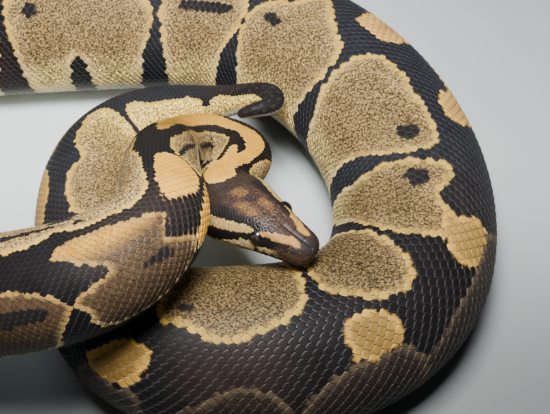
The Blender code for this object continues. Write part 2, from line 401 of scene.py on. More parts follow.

# %% [markdown]
# ## Markings
# A ball python is dark brown-black with tan patches. On the flanks the patches are tall,
# finely speckled and edged in cream, with a dark eye-spot or two. On the back they are
# smaller and clear orange. One could paint them in a picture, but a picture would have to
# be wrapped round the coils. Here each patch is a loop through a few given places
# (s, t), rounded by a spline, and its depth in millimetres tells rim from middle. The
# dark spots in a patch are small rounded lobes.

# %% Loops and lobes
def rounded(corners, cuts=4):
    """Closed smooth line through a few corners."""
    p = np.array(corners, float)
    before, after, beyond = np.roll(p, 1, 0), np.roll(p, -1, 0), np.roll(p, -2, 0)
    steps = [0.5 * (2 * p + (after - before) * u
                    + (2 * before - 5 * p + 4 * after - beyond) * u**2
                    + (3 * p - before - 3 * after + beyond) * u**3)
             for u in np.arange(cuts) / cuts]
    return np.stack(steps, 1).reshape(-1, 2)


def depth_within(line, s, t):
    """How deep places lie inside a closed line, in millimetres; below zero outside."""
    per_degree = math.radians(reach_at(line[:, 0].mean()))
    a = line * (1, per_degree)
    side = np.roll(a, -1, 0) - a
    x, y = s[:, None] - a[:, 0], t[:, None] * per_degree - a[:, 1]
    share = np.clip((x * side[:, 0] + y * side[:, 1]) / (side**2).sum(1), 0, 1)
    gap = np.hypot(x - share * side[:, 0], y - share * side[:, 1]).min(1)
    crossed = ((y < 0) != (y < side[:, 1])) & \
        (x < y * side[:, 0] / np.where(side[:, 1] == 0, 1e-9, side[:, 1]))
    return np.where(crossed.sum(1) % 2 == 1, gap, -gap)


def depth_in(lobe, s, t):
    """How deep places lie inside a rounded lobe, in millimetres.

    A lobe is s, t, half its length in mm, half its width in degrees and how many degrees
    it climbs for each mm.
    """
    s0, t0, half_s, half_t, climb = (*lobe, 0)[:5]
    per_degree = math.radians(reach_at(s0))
    x = np.abs(s - s0) / half_s + 1e-6
    y = np.abs(t - t0 - climb * (s - s0)) / half_t + 1e-6
    level = (x**2.5 + y**2.5) ** 0.4
    slope = level ** -1.5 * np.hypot(x**1.5 / half_s, y**1.5 / (half_t * per_degree))
    return (1 - level) / slope


def ease(low, high, value):
    x = np.clip((value - low) / (high - low), 0, 1)
    return x * x * (3 - 2 * x)


print("a loop of four corners is drawn with", len(rounded([(0, 0), (9, 0), (9, 9), (0, 9)])))

# %% [markdown]
# The table of patches goes from the neck to the tail. Each row gives the kind of patch, the
# corners of its loop, and the dark spots in it.

# %% The patches
PATCHES = [
    # neck: the clear stripe that starts behind the crown, and its neighbours
    ("clear", [(31, 5), (31.3, 17), (33, 23.5), (36, 26), (39, 26), (42, 21.5), (46, 16.5),
     (49.5, 12.5), (52, 9), (55, 9.5), (58, 8.5), (60.5, 2), (63, -6), (66, -8), (69, -3), (72, 5),
     (75, 17), (80, 29), (88, 30), (97, 23), (106, 9), (112, 6), (116.5, 3.5), (118.3, -5),
     (116, -13), (111, -19), (104, -22), (95, -24.5), (86, -25.5), (80, -23), (77, -21.5),
     (74, -22.5), (71, -27), (67, -34.5), (63, -41), (60, -46), (58.2, -45), (56.5, -38),
     (54.3, -27), (52.5, -18), (50.5, -15.5), (48.5, -18), (50, -26), (51.5, -34), (52, -42),
     (50, -42.5), (47.5, -35), (45.3, -27), (43.5, -21.5), (42.3, -26), (40.5, -32), (37.5, -35),
     (34.5, -28), (32.8, -18), (31.6, -6)], []),
    ("flank", [(37, -52), (40, -38), (42.5, -28), (45, -36), (48, -46), (51, -56), (54, -65),
     (57, -70), (60, -70), (62.5, -64.5), (65, -56.5), (68, -49.5), (72, -42), (76, -37.5),
     (80, -38), (86, -42), (93, -42.5), (99, -41), (104, -47), (106, -62), (104, -82), (97, -97),
     (84, -100), (68, -98), (54, -94), (44, -86), (37, -76)], [(88.5, -70, 12, 5.5, -0.25),
     (73, -71, 5.5, 5.5, 2.0), (42.6, -55, 1.2, 17)]),
    ("flank", [(44.5, 48), (44.4, 40), (45.6, 33), (47.4, 26.5), (49.8, 22), (53, 22),
     (55.2, 26.5), (56.6, 35), (57.8, 46), (58, 60), (56, 76), (51, 84), (46.5, 76), (44.5, 62)],
     []),
    # forebody
    ("flank", [(106, -47), (112, -40.5), (117, -36), (120, -32), (122.3, -25.5), (126, -20.5),
     (130, -20), (133, -24), (135, -31), (136.2, -39), (137.8, -49), (138.3, -58), (136.5, -69),
     (130, -76), (120, -78), (110, -73), (105, -60)], [(126.3, -47, 8.6, 4.8, 1.8)]),
    ("clear", [(134.3, -2), (136, 3), (140, 4.5), (143.2, 2), (145.8, -4), (147, -13),
     (147.2, -21), (146.2, -30), (144.8, -40), (143.4, -50), (141.3, -54.5), (139, -51),
     (137.2, -42), (135.6, -31), (134.6, -18), (134.1, -9)], []),
    ("clear", [(139, -73), (141, -66.5), (144.5, -64), (147, -67), (149, -75), (149.8, -86),
     (148.6, -97), (145.5, -101), (141.5, -90)], []),
    ("umber", [(149.9, -21), (151.2, -13), (153.8, -5), (156.5, 2.5), (160, 6.3), (164.5, 7),
     (168.8, 4.3), (171.5, -2.5), (171.6, -8.5), (169, -13.5), (167, -20), (163.8, -28),
     (162.8, -35.5), (165.5, -41), (168.3, -46.5), (170.3, -52), (170, -58), (168.8, -67),
     (169.2, -77), (168.6, -90), (166.5, -98), (161, -103), (154.5, -98), (151.3, -89),
     (149.6, -77), (149.6, -64), (151, -53), (152.4, -44), (152.5, -37), (150.7, -28)],
     [(155.8, -49, 2.2, 4.2), (154.4, -54, 1.2, 5)]),
    ("umber", [(170.8, -56), (171.8, -47), (173.5, -41), (176, -36), (180, -32.5), (185, -31),
     (191, -28), (198, -27), (204, -32), (209, -45), (210, -62), (208, -82), (203, -100),
     (196, -112), (186, -117), (179, -112), (177, -100), (175.5, -88), (173.6, -76), (172, -66)],
     [(184.5, -58, 10, 8, -0.3)]),
    ("flank", [(114, 62), (115, 48), (117.5, 38.5), (122, 37.5), (127.2, 38.5), (129.2, 33),
     (131.3, 26), (135, 21), (140.5, 17), (144, 12), (147, 8.2), (151, 8.5), (154.5, 12.5),
     (158, 16), (165, 17.5), (168.3, 21), (170.7, 22.5), (172.5, 17.5), (175, 11.5), (179, 6.5),
     (184, 4.5), (190, 6), (195, 14), (198, 30), (199, 50), (196, 72), (188, 84), (172, 90),
     (150, 92), (130, 88), (117, 78)], [(171, 46, 4.4, 8), (164.5, 30, 1.7, 3),
     (183.5, 27.5, 12.5, 4.2, -0.6)]),
    # trunk, left flank, which faces the middle of the coil
    ("flank", [(391, 150), (389, 110), (388, 75), (389, 48), (395, 30), (404, 24), (414, 27),
     (421.5, 37), (425, 52), (425, 68), (423, 88), (421, 110), (418, 150)], [(398, 45, 3, 6)]),
    ("flank", [(433, 150), (432.4, 128), (431.6, 108), (430.6, 86), (429, 64), (427.8, 46),
     (428, 32), (433, 21), (445, 17), (458, 20), (468, 26), (474, 36), (477.3, 47), (478.2, 58),
     (477, 67), (474.5, 80), (472.6, 100), (471, 122), (469.5, 150), (455.5, 150), (454.2, 128),
     (453.5, 104), (452.8, 92), (450.6, 83.5), (448.4, 88), (447, 100), (446.6, 125),
     (445.5, 150)], [(436.5, 40, 2.7, 5.5)]),
    ("flank", [(484, 150), (482.5, 120), (482.4, 99), (481.6, 80), (480.8, 62), (480.4, 48),
     (482, 37), (486, 29), (494, 25), (502, 25), (509, 29), (513.2, 38), (513.8, 49), (512.6, 60),
     (509.5, 72), (507.3, 86), (506.2, 102), (505.2, 125), (505, 150)], [(498, 45.3, 10.5, 4.6)]),
    ("flank", [(519, 150), (518.3, 120), (517.3, 99), (516.2, 83), (514.7, 69), (514.1, 56),
     (515.5, 44), (518.5, 34), (523, 26), (527.6, 21.5), (529.8, 13), (532.5, 4.5), (535.5, 2.5),
     (538.3, 8.5), (542, 18.5), (547.5, 26), (553, 33.5), (556, 45), (557.2, 60), (556.6, 76),
     (555.3, 92), (554.6, 110), (555, 150)], [(524.6, 43.5, 3.5, 4.6)]),
    ("flank", [(568, 150), (567, 128), (566.3, 108), (565.5, 92), (563.8, 81), (561.3, 70),
     (559.7, 60), (559, 48), (559.3, 36), (560.7, 24), (564, 16), (569, 13), (574, 11.3),
     (579, 14), (584, 11), (590, 10), (595.5, 11), (598.7, 16), (600.3, 24), (600.8, 35),
     (600.3, 47), (599, 58), (596.8, 69), (594.8, 79), (594.2, 90), (594.6, 104), (595.5, 120),
     (597, 150)], [(593.7, 31, 2.8, 8)]),
    ("flank", [(606, 150), (605.5, 128), (605.3, 106), (605.3, 94), (606, 84), (605.6, 73),
     (604.2, 65), (603.3, 55), (603.2, 43), (603.6, 31), (603.8, 20), (604.8, 11), (606.8, 6.5),
     (609, 7), (611, 12), (614, 17.5), (617, 15.5), (619, 9), (623, 5), (626.8, 9), (627.2, 17),
     (629, 27), (630.4, 38), (630.8, 52), (630, 65), (628, 77), (625, 90), (622, 101),
     (618.5, 111), (616, 125), (615, 150)], [(610, 32.5, 2.9, 8)]),
    ("flank", [(637, 150), (635.5, 128), (634.4, 110), (633.8, 95), (633.6, 82), (632.6, 68),
     (632.9, 57), (633.9, 46), (634.8, 35), (636.8, 24), (639.5, 15.5), (643, 13), (647, 15.5),
     (650.5, 19.5), (653, 25), (657, 30.5), (660.5, 37), (662.3, 46), (663.4, 57), (663.8, 70),
     (664, 90), (663, 112), (661, 150)], []),
    ("flank", [(671, 150), (669.5, 115), (669, 95), (668.5, 80), (667, 68), (665.6, 57),
     (665.7, 47), (666.2, 38), (668, 30.5), (671, 24.5), (675, 19.5), (679, 17), (683, 12.5),
     (686.5, 10.5), (690, 12), (693.5, 16.5), (698, 19), (702, 18.3), (703.8, 24), (704.5, 32),
     (704.7, 48), (705, 66), (703, 90), (700, 115), (699, 150)], [(697, 33.5, 1.6, 3.5)]),
    ("flank", [(716, 150), (713, 110), (711, 78), (712, 50), (717, 32), (726, 24), (735, 30),
     (741, 46), (743, 70), (741, 100), (739, 150)], [(733, 44, 3, 7)]),
    ("flank", [(747, 40), (748.5, 22), (750.5, 7), (754, 4), (757.5, -0.5), (763, -1),
     (767.5, -0.5), (770, 4), (772.5, 9.5), (775, 6), (778, -3), (782, -10.5), (786.5, -12),
     (789, -18), (792.3, -22), (795.5, -17), (797.3, -4), (798, 11), (798, 27), (797.5, 42),
     (796.5, 52), (797.5, 75), (797, 105), (796, 150), (750, 150), (748, 110), (746.5, 70)], []),
    # trunk, back and right flank
    ("clear", [(545.4, -6), (546.5, 3), (549.5, 7), (554, 7.5), (558, 5), (559.6, -4),
     (559.3, -14), (558.5, -25), (556, -36), (551, -41), (546, -36), (544, -26), (544.2, -15)],
     []),
    ("clear", [(575, -28), (577.5, -22), (579, -13), (581, -6.5), (584.5, -3), (588, -4),
     (589.8, -9), (589.7, -18), (588.7, -27), (586, -38), (581, -43), (576.5, -40), (574.5, -34)],
     []),
    ("clear", [(619.7, 13), (619.5, 3), (618.2, -6), (617.9, -15), (619, -24), (623, -27),
     (627.5, -23), (629, -12), (629.7, -3), (628.5, 3), (626.9, 9), (624, 14)], []),
    # the dark patches of the right flank: their own darker colour, with painted shade on top
    ("shaded_dim", [(618, -30), (619.5, -23), (624, -23), (630, -20.5), (637, -21.5), (641, -27),
     (646, -34), (649, -43), (650, -60), (647, -80), (644, -100), (642, -125), (640, -150),
     (622, -150), (620, -125), (617, -100), (615, -75), (616, -50)], []),
    ("clear", [(648.8, 0), (649.5, 7), (651.5, 13), (654.5, 16), (657.5, 15.5), (659.8, 11),
     (660.6, 4), (659.8, -4), (659.4, -11), (656, -16), (650.8, -13), (649, -7)], []),
    ("shaded_dim", [(650, -13.5), (655, -14.5), (660, -13), (664, -17), (667.5, -23), (669.8, -30),
     (671.3, -38), (672, -52), (670, -72), (668, -95), (666, -120), (664, -150), (650, -150),
     (649, -120), (648, -90), (646.5, -60), (646.5, -42), (647, -28), (648.5, -19)], []),
    ("shaded_dim", [(674, -36), (675.5, -27), (678, -21), (681.5, -18), (685, -17.5), (688, -20),
     (691, -27), (694, -34), (697, -42), (698, -56), (697, -75), (694, -100), (692, -150),
     (678, -150), (676, -110), (674, -75), (673, -50)], []),
    ("clear", [(702.2, -4), (704, 0), (707, 0), (709.5, -4), (711.5, -12), (713.4, -20),
     (714.8, -28), (714, -37), (709, -38), (705.3, -30), (703.5, -17)], []),
    ("shaded_dim", [(704.5, -36), (708, -39), (714.5, -37), (716.5, -46), (717, -62), (716, -85),
     (714, -120), (713, -150), (704, -150), (703, -110), (703, -75), (703.4, -50)], []),
    ("clear", [(752, -34), (756, -28.5), (762, -25.5), (767, -27), (771, -34), (774, -43),
     (775, -58), (771, -72), (762, -78), (754, -70), (750.5, -52)], []),
    # tail
    ("flank", [(801.2, 55), (800.8, 38), (801.1, 24), (803, 9), (805.8, 2.2), (809, 6.5),
     (812, 14.5), (815, 20.5), (822, 21), (825.7, 17), (828.3, 24), (831.2, 31.5), (834.2, 32.5),
     (836.8, 23), (839, 21.5), (841.5, 30), (845, 37.5), (849.5, 41), (852.5, 48), (854.5, 66),
     (856.5, 90), (857, 115), (852, 150), (806, 150), (803, 115), (801.3, 82)],
     [(832.6, 43, 1.6, 10)]),
]
print(len(PATCHES), "patches set by hand")

# %% [markdown]
# The far side can't be seen, but a museum visitor may walk round. A ball python repeats
# itself without copying, so a seeded rule lays out the remaining patches: tall ones down
# each flank about two body radii apart, and now and then an orange one on the back.

# %% Patches of the far side
chance = np.random.default_rng(7)


def loose(corners, s_sway, t_sway):
    """Corners of a loop, each moved a little at random."""
    return [(s + chance.uniform(-s_sway, s_sway), t + chance.uniform(-t_sway, t_sway))
            for s, t in corners]


def tall_patches(stations, hand):
    """Tall flank patches at the stations, on the left (1) or the right (-1)."""
    for s0 in stations:
        half = chance.uniform(0.64, 0.78) * float(np.interp(s0, SPINE, GIRTHS))
        top = chance.uniform(24, 40)
        ladder = ((0.0, 0), (0.62, 3), (0.94, 18), (1.0, 40), (0.86, 66), (0.72, 92))
        right = [(s0 + half * x, top + y) for x, y in ladder] + [(s0 + 0.7 * half, 150)]
        left = [(2 * s0 - s, t) for s, t in right[:0:-1]]
        corners = [(s, hand * t) for s, t in loose(right + left, 1.1, 2.5)]
        spot = (s0 + chance.uniform(-0.5, 0.5) * half, hand * (top + 17), 2.8, 6.5)
        PATCHES.append(("flank", corners, [spot]))


tall_patches((232, 274, 318, 358), 1)
tall_patches((236, 276, 318, 362, 407, 452, 494, 533, 576, 738, 786), -1)
for s0 in (224, 262, 300, 341, 380, 428, 470, 512):
    t0, long, wide = chance.uniform(-12, 6), chance.uniform(5, 8), chance.uniform(10, 15)
    ring = [(s0 + long * math.cos(a), t0 + wide * math.sin(a))
            for a in np.linspace(0, 2 * math.pi, 9)[:-1]]
    PATCHES.append(("clear", loose(ring, 1.0, 2.0), []))
LOOPS = [(kind, rounded(corners), spots) for kind, corners, spots in PATCHES]
print(len(LOOPS), "patches, set out by", sum(len(patch[1]) for patch in PATCHES), "corners")

# %% [markdown]
# ## Colours of the body
# Each kind of patch has one colour in its middle, one low on the flank, and a rim. The
# ground between them is black, browner here, with a painted slate reflection there. The
# same kind is painted lighter on one stretch than the next, as painted light and shade, so
# a table of it goes along with s.

# %% Colours of the body
GROUND = (0.0068, 0.0062, 0.0064)
WARM_GROUND = (0.031, 0.0185, 0.0145)
# painted reflection: a bluish slate sheen laid on the black on some stretches
SLATE_REFLECTION = (0.0175, 0.0185, 0.0225)
SLATE_REFLECTION_AT = ((430, 480, 600, 625, 735, 760, 820, 840), (0, 0.75, 0.75, 0, 0, 0.75, 0.75, 0.1))
SPOT = (0.012, 0.010, 0.010)
TAIL_TAN = (0.197, 0.136, 0.032)         # flank patches are yellower on the tail
TRUNK_ORANGE = (0.39, 0.225, 0.056)      # clear ones are yellower on the trunk than before
LOW_RIM = (0.64, 0.48, 0.21)             # rims turn paler toward the belly
TIP_BROWN = (0.070, 0.044, 0.032)        # mottling of the tail tip
BELLY_CREAM = (0.66, 0.61, 0.50)
BELLY_EDGE = 143.0                       # where the wide belly scales begin, in degrees
KINDS = {                                # middle, low on the flank, rim, rim width, speckle
    "flank": ((0.190, 0.125, 0.050), (0.58, 0.43, 0.15), (0.47, 0.290, 0.055), 2.2, 1.0),
    "clear": ((0.50, 0.243, 0.022), (0.34, 0.20, 0.05), (0.58, 0.32, 0.06), 1.4, 0.12),
    "umber": ((0.055, 0.033, 0.017), (0.038, 0.027, 0.018), (0.29, 0.170, 0.048), 1.5, 0.4),
    # right-flank patches in shadow: dark partly in their own colour, partly as painted shade
    "shaded_dim": ((0.045, 0.033, 0.024), (0.045, 0.034, 0.026), (0.10, 0.070, 0.042), 1.8, 0.4),
}
# painted light and shade along s: how much lighter or darker each stretch of patches is painted
PAINTED_LIGHT_AT = (230, 300, 497, 535, 580, 617, 648, 720, 780, 800)
FLANK_PAINTED_LIGHT = (1.5, 1.2, 1.44, 1.42, 1.24, 0.87, 0.57, 0.6, 1.5, 3.5)
OTHER_PAINTED_LIGHT = (1.08, 1.0, 1.3, 1.35, 1.3, 0.76, 0.45, 0.5, 1.0, 1.6)


def all_over(colour, places):
    """One colour for every place."""
    return np.broadcast_to(np.array(colour), (*places.shape, 3))


def mixed(under, over, share):
    """Colours with a share of another laid over them."""
    return under + (np.array(over) - under) * np.asarray(share)[..., None]


def body_paint(s, t):
    """Colour and speckle of the body at places s, t."""
    warm = 0.5 + 0.5 * np.sin(s * 0.083 + 1.3) * np.cos(np.radians(t) * 1.7 + 0.4)
    colour = mixed(all_over(GROUND, s), WARM_GROUND, 0.42 * ease(0.55, 1.0, warm))
    # painted slate-blue reflection on the black
    colour = mixed(colour, SLATE_REFLECTION, np.interp(s, *SLATE_REFLECTION_AT))
    speckle = np.zeros(s.shape)
    wobble = (0.22 * np.sin(1.93 * s + 0.31 * t) + 0.2 * np.sin(0.43 * t - 1.17 * s)) \
        * np.clip(reach(s) / 23, 0.2, 1)
    for kind, line, spots in LOOPS:
        low, high = line.min(0) - 0.5, line.max(0) + 0.5
        near = (s > low[0]) & (s < high[0]) & (t > low[1]) & (t < high[1])
        if not near.any():
            continue
        s1, t1 = s[near], t[near]
        middle, lower, rim, rim_width, grain = KINDS[kind]
        rim_width = rim_width * np.clip(reach(s1) / 21, 0.35, 1)
        deep = depth_within(line, s1, t1) + wobble[near]
        fill = mixed(all_over(middle, s1), lower, ease(76, 114, np.abs(t1)))
        if kind == "flank":
            fill = mixed(fill, TAIL_TAN, ease(770, 800, s1))
        elif kind == "umber":            # orange along the back, brown below
            fill = mixed(fill, KINDS["clear"][0], 0.7 * ease(26, 3, np.abs(t1)))
        elif kind == "clear":
            fill = mixed(fill, TRUNK_ORANGE, ease(250, 450, s1))
        # painted light and shade for this stretch of the body
        painted_light_table = FLANK_PAINTED_LIGHT if kind == "flank" else OTHER_PAINTED_LIGHT
        shade = np.interp(s1, PAINTED_LIGHT_AT, painted_light_table)[:, None]
        fill = fill * shade * (1.1 - 0.27 * ease(2, 9, deep))[:, None]
        rim = mixed(all_over(rim, s1), LOW_RIM, 0.8 * ease(60, 100, np.abs(t1)))
        # the rim takes part of the painted light and shade too
        fill = mixed(fill, rim * np.clip(0.4 + 0.6 * shade, 0.6, 1.1),
                     ease(1.3, 0.3, deep / rim_width))
        grain = grain * ease(0.2, 1.5, deep / rim_width) * ease(140, 108, np.abs(t1))
        for spot in spots:
            dark = depth_in(spot, s1, t1) + wobble[near] > 0
            fill = mixed(fill, SPOT, dark)
            grain = np.where(dark, 0, grain)
        inside = deep > 0
        colour[near] = np.where(inside[:, None], fill, colour[near])
        speckle[near] = np.where(inside, grain, speckle[near])
    tip = ease(832, 846, s) * ease(0.1, 0.9, np.sin(1.7 * s + 0.06 * t) * np.cos(0.071 * t - s))
    colour = mixed(colour, TIP_BROWN, 0.35 * tip)
    slim = ease(815, 840, s)                 # the cream reaches higher up the thin tail
    pale = ease(112 - 30 * slim, 138 - 26 * slim, np.abs(t))
    lit = colour.sum(-1) > 0.3
    colour = mixed(colour, BELLY_CREAM, pale * np.maximum(np.where(lit, 0.8, 0.3), 0.75 * slim))
    belly = np.abs(t) > BELLY_EDGE
    colour = mixed(colour, BELLY_CREAM, 0.92 * belly)
    return colour, speckle * (1 - pale)


print("kinds of patch:", ", ".join(KINDS))

# %% [markdown]
# ## Colours of the head
# The head has its own plan: a brown crown edged in black, a tan stripe from the nostril
# over the eye to the nape, a black stripe through the eye, and cream lips whose heat pits
# are painted dark as shade. Both cheeks are alike, so the stripes are told once, for t
# without its sign.

# %% Colours of the head
BLACK = (0.0075, 0.0066, 0.0066)
CROWN = (0.040, 0.022, 0.0145)
SNOUT = (0.026, 0.017, 0.0135)
STRIPE = (0.35, 0.180, 0.048)
CHEEK_STRIPE = (0.42, 0.28, 0.090)
LIP = (0.50, 0.385, 0.165)
FRONT_LIP = (0.062, 0.036, 0.022)
CHIN = (0.62, 0.57, 0.46)
NAPE_BROWN = (0.028, 0.018, 0.013)
BRIGHT_BROWN = (0.135, 0.067, 0.024)     # light spots on the crown
CROWN_DOT = (0.018, 0.013, 0.013)
SUTURE = (0.022, 0.017, 0.016)           # line down the middle of the snout
# painted shade in the heat pits
PIT_SHADE = (0.030, 0.015, 0.010)
# painted shade in the mouth line, the nostrils and round the eyes
OPENING_SHADE = (0.012, 0.009, 0.008)          # mouth line, nostrils and rims of the eyes
LIP_TOP = ((0, 7, 10, 13, 15.5, 18, 20, 23, 27, 33),  # s, and t of the lip's upper edge
           (84, 86, 88, 90, 85, 86, 93, 99, 105, 112))
BEFORE_EYE = rounded([(3.7, 22), (4.6, 13), (6.7, 10.5), (9, 19), (10.8, 30), (12.8, 41),
                      (14, 49), (13.7, 57), (11.5, 58.5), (9.3, 53), (7.3, 44), (5.3, 34),
                      (4.0, 28)])
BEHIND_EYE = rounded([(15.3, 52), (16.8, 45.5), (20, 50), (24, 55.5), (29, 58), (34, 54),
                      (39, 44), (41, 60), (37, 74), (30, 80), (25, 77.5), (20, 74.5),
                      (16.8, 65), (15.3, 58)])
BRIGHT = ((24.5, 1, 1.9, 7.5), (19.6, -13, 2.9, 9, -1.0), (17.0, 11, 2.4, 7, 1.0))
PITS = [(7.4, 114), (9.3, 113), (11.3, 108), (13.6, 103)]
NOSTRIL = (5.6, 41)
EYE_AT, EYE_RADIUS, EYE_OPEN = (14.5, 5.5, 1.8), 2.3, 1.82


def head_paint(s, t):
    """Colour and speckle of the head at places s, t."""
    cheek = np.abs(t)
    colour = all_over(BLACK, s)
    speckle = np.zeros(s.shape)

    def lay(paint, depth, soft, grain=0.0):
        nonlocal colour, speckle
        share = ease(-soft, soft, depth)
        colour = mixed(colour, paint, share)
        speckle = speckle + (grain - speckle) * share

    blotch = np.sin(1.9 * s + 0.09 * t) * np.sin(0.13 * t - 0.8 * s)
    lay(SNOUT, 8.4 - s, 1.2, 0.3)
    lay(CROWN, depth_in((19.0, 0, 12.5, 29), s, t) + 0.5 * blotch, 0.9, 0.75)
    lay(NAPE_BROWN, np.minimum(s - 26.5, 33 - s), 2.2, 0.5)
    for lobe in BRIGHT:
        lay(BRIGHT_BROWN, depth_in(lobe, s, t) + 0.4 * blotch, 0.7, 0.6)
    lay(CROWN_DOT, depth_in((21.3, 1, 1.1, 4), s, t), 0.3)
    lay(SUTURE, 0.35 - np.abs(np.radians(t + 1.5) * reach(s)) - 0.12 * (s - 9), 0.3)
    lay(STRIPE, depth_within(BEFORE_EYE, s, cheek), 0.14, 0.3)
    lay(CHEEK_STRIPE, depth_within(BEHIND_EYE, s, cheek), 0.14, 0.45)
    below = np.radians(cheek - np.interp(s, *LIP_TOP)) * reach(s)
    lay(LIP, below, 0.2, 0.35)
    lay(FRONT_LIP, np.minimum(below + 1.4, 5.6 - s + 3.2 * ease(4.5, 0, below)), 0.9, 0.4)
    lay(FRONT_LIP, np.minimum(below, 15 - s) - 0.1 - 1.6 * np.abs(np.sin(1.28 * s + 0.7)),
        0.5)
    lay(CHIN, np.radians(cheek - 137) * reach(s), 0.5)
    # painted shade in each heat pit
    for u, around in PITS:
        aside = np.radians(cheek - around) * reach_at(u)
        lay(PIT_SHADE, 0.55 - np.hypot(s - u, aside), 0.18)
    return colour, speckle


def paint(s, t):
    """Colour and speckle anywhere on the animal, as one array of four columns."""
    s, t = np.broadcast_arrays(np.asarray(s, float), np.asarray(t, float))
    shape = s.shape
    s, t = s.ravel(), (t.ravel() + 180) % 360 - 180
    colour, speckle = body_paint(s, t)
    front = s < 40
    if front.any():
        hue, grain = head_paint(s[front], t[front])
        nape = depth_within(LOOPS[0][1], s[front], t[front]) > 0
        share = np.where((s[front] > HEAD) | nape, 1.0, 0.0)
        colour[front] = hue + (colour[front] - hue) * share[:, None]
        speckle[front] = grain + (speckle[front] - grain) * share
    return np.concatenate([colour, speckle[:, None]], -1).reshape(*shape, 4)


print("colour and speckle in mid-body:", np.round(paint(560.0, 60.0), 3))

# %% [markdown]
# ## The finish
# Skin and scales share one finish, so it is a node group. The paint arrives as an
# attribute, whose alpha says how strongly that place is speckled. Toward the rim of a
# scale the colour turns pale, as the thin edge of horn does, with a painted glint added.
# Two sizes of noise make the speckles and a slow drift. The gloss stays in the material
# itself.

# %% The finish
def finish_group():
    """Colour, roughness and height of painted scaly skin."""
    tree = bpy.data.node_groups.new("scaly_finish", "ShaderNodeTree")
    new = tree.interface.new_socket
    new("Paint", in_out="INPUT", socket_type="NodeSocketColor")
    for name in ("Speckle", "Edge", "Grain size", "Edge gain"):
        new(name, in_out="INPUT", socket_type="NodeSocketFloat")
    new("Color", in_out="OUTPUT", socket_type="NodeSocketColor")
    for name in ("Roughness", "Height", "Gloss"):
        new(name, in_out="OUTPUT", socket_type="NodeSocketFloat")
    given = tree.nodes.new("NodeGroupInput").outputs
    place = own_place(tree)
    grain = linked(tree, "ShaderNodeTexNoise", Vector=place, Scale=given["Grain size"],
                   Detail=2.0, Roughness=0.6).outputs["Fac"]
    drift = linked(tree, "ShaderNodeTexNoise", Vector=place, Scale=210.0,
                   Detail=3.0).outputs["Fac"]
    rim = maths(tree, "MULTIPLY", ramp(tree, given["Edge"], (0.35, 0.0), (1.0, 1.0)),
                given["Edge gain"])
    rim = maths(tree, "MULTIPLY", rim, maths(tree, "MULTIPLY_ADD", given["Speckle"], -0.3, 1.0))
    # pale edge of horn, and the grey added below is a painted glint along the edges
    pale_edge_and_glint = blend(tree, "MULTIPLY", 1.0, given["Paint"], (1.32, 1.45, 1.9, 1))
    pale_edge_and_glint = blend(tree, "ADD", 1.0, pale_edge_and_glint, (0.028, 0.026, 0.025, 1))
    colour = blend(tree, "MIX", rim, given["Paint"], pale_edge_and_glint)
    dots = ramp(tree, grain, (0.37, 0.26), (0.46, 0.46), (0.52, 0.95), (0.60, 1.7))
    colour = blend(tree, "MULTIPLY", given["Speckle"], colour, dots)
    colour = blend(tree, "MULTIPLY", 1.0, colour, ramp(tree, drift, (0.3, 0.86), (0.7, 1.14)))
    out = tree.nodes.new("NodeGroupOutput").inputs
    tree.links.new(colour, out["Color"])
    rough = maths(tree, "MULTIPLY_ADD", drift, 0.2, 0.44)
    tree.links.new(maths(tree, "MULTIPLY_ADD", given["Edge"], -0.22, rough), out["Roughness"])
    tree.links.new(grain, out["Height"])
    tree.links.new(maths(tree, "MULTIPLY", given["Edge"], drift), out["Gloss"])
    return tree


SCALY = finish_group()


def scaly_material(name, grain_size, edge_gain, bump, coat, shine=0.08, gloss=0.2):
    material, tree, shader = new_material(name)
    shader.inputs["Specular IOR Level"].default_value = shine
    shader.inputs["Coat Roughness"].default_value = 0.3
    colours = stored(tree, "paint")
    group = tree.nodes.new("ShaderNodeGroup")
    group.node_tree = SCALY
    group.inputs["Grain size"].default_value = grain_size
    group.inputs["Edge gain"].default_value = edge_gain
    tree.links.new(colours["Color"], group.inputs["Paint"])
    tree.links.new(colours["Alpha"], group.inputs["Speckle"])
    tree.links.new(stored(tree, "edge")["Fac"], group.inputs["Edge"])
    tree.links.new(group.outputs["Color"], shader.inputs["Base Color"])
    tree.links.new(group.outputs["Roughness"], shader.inputs["Roughness"])
    tree.links.new(maths(tree, "MULTIPLY_ADD", group.outputs["Gloss"], gloss, coat),
                   shader.inputs["Coat Weight"])
    relief = linked(tree, "ShaderNodeBump", Strength=bump, Distance=0.0001,
                    Height=group.outputs["Height"])
    tree.links.new(relief.outputs["Normal"], shader.inputs["Normal"])
    return material


SCALE_FINISH = scaly_material("scale_horn", 1750.0, 0.72, 0.12, 0.0)
SKIN_FINISH = scaly_material("skin_between", 1750.0, 0.5, 0.3, 0.0)
BELLY_FINISH = scaly_material("belly_horn", 900.0, 0.3, 0.08, 0.2, 0.3)
HEAD_FINISH = scaly_material("head_horn", 2300.0, 0.5, 0.4, 0.03, 0.12, 0.7)
print("materials:", [material.name for material in bpy.data.materials])

# %% [markdown]
# ## One skin
# Under the scales lies a single skin from snout to tail tip. It is the one piece that
# stands for all the solids of flesh, so no cut between them shows. Rings of points round
# the body are the plainest way: they are drawn a little inside the solids, by as much as
# the scales are thick, and closed at both ends.

# %% The skin
ROW_WIDTH = np.array([                   # s, width of one row of scales in mm
    (0, 0.60), (16, 0.68), (30, 0.8), (38, 0.84), (60, 0.88), (100, 0.95), (142, 1.08),
    (180, 1.22), (220, 1.38), (260, 1.52), (330, 1.68), (560, 1.80), (650, 1.88), (700, 1.76),
    (760, 1.5), (790, 1.3), (820, 1.1), (850, 0.85), (868, 0.65), (880, 0.5),
])
COAT_DEPTH = 0.19                        # thickness of the coat over the row width


def row_width(s):
    return np.interp(s, ROW_WIDTH[:, 0], ROW_WIDTH[:, 1])


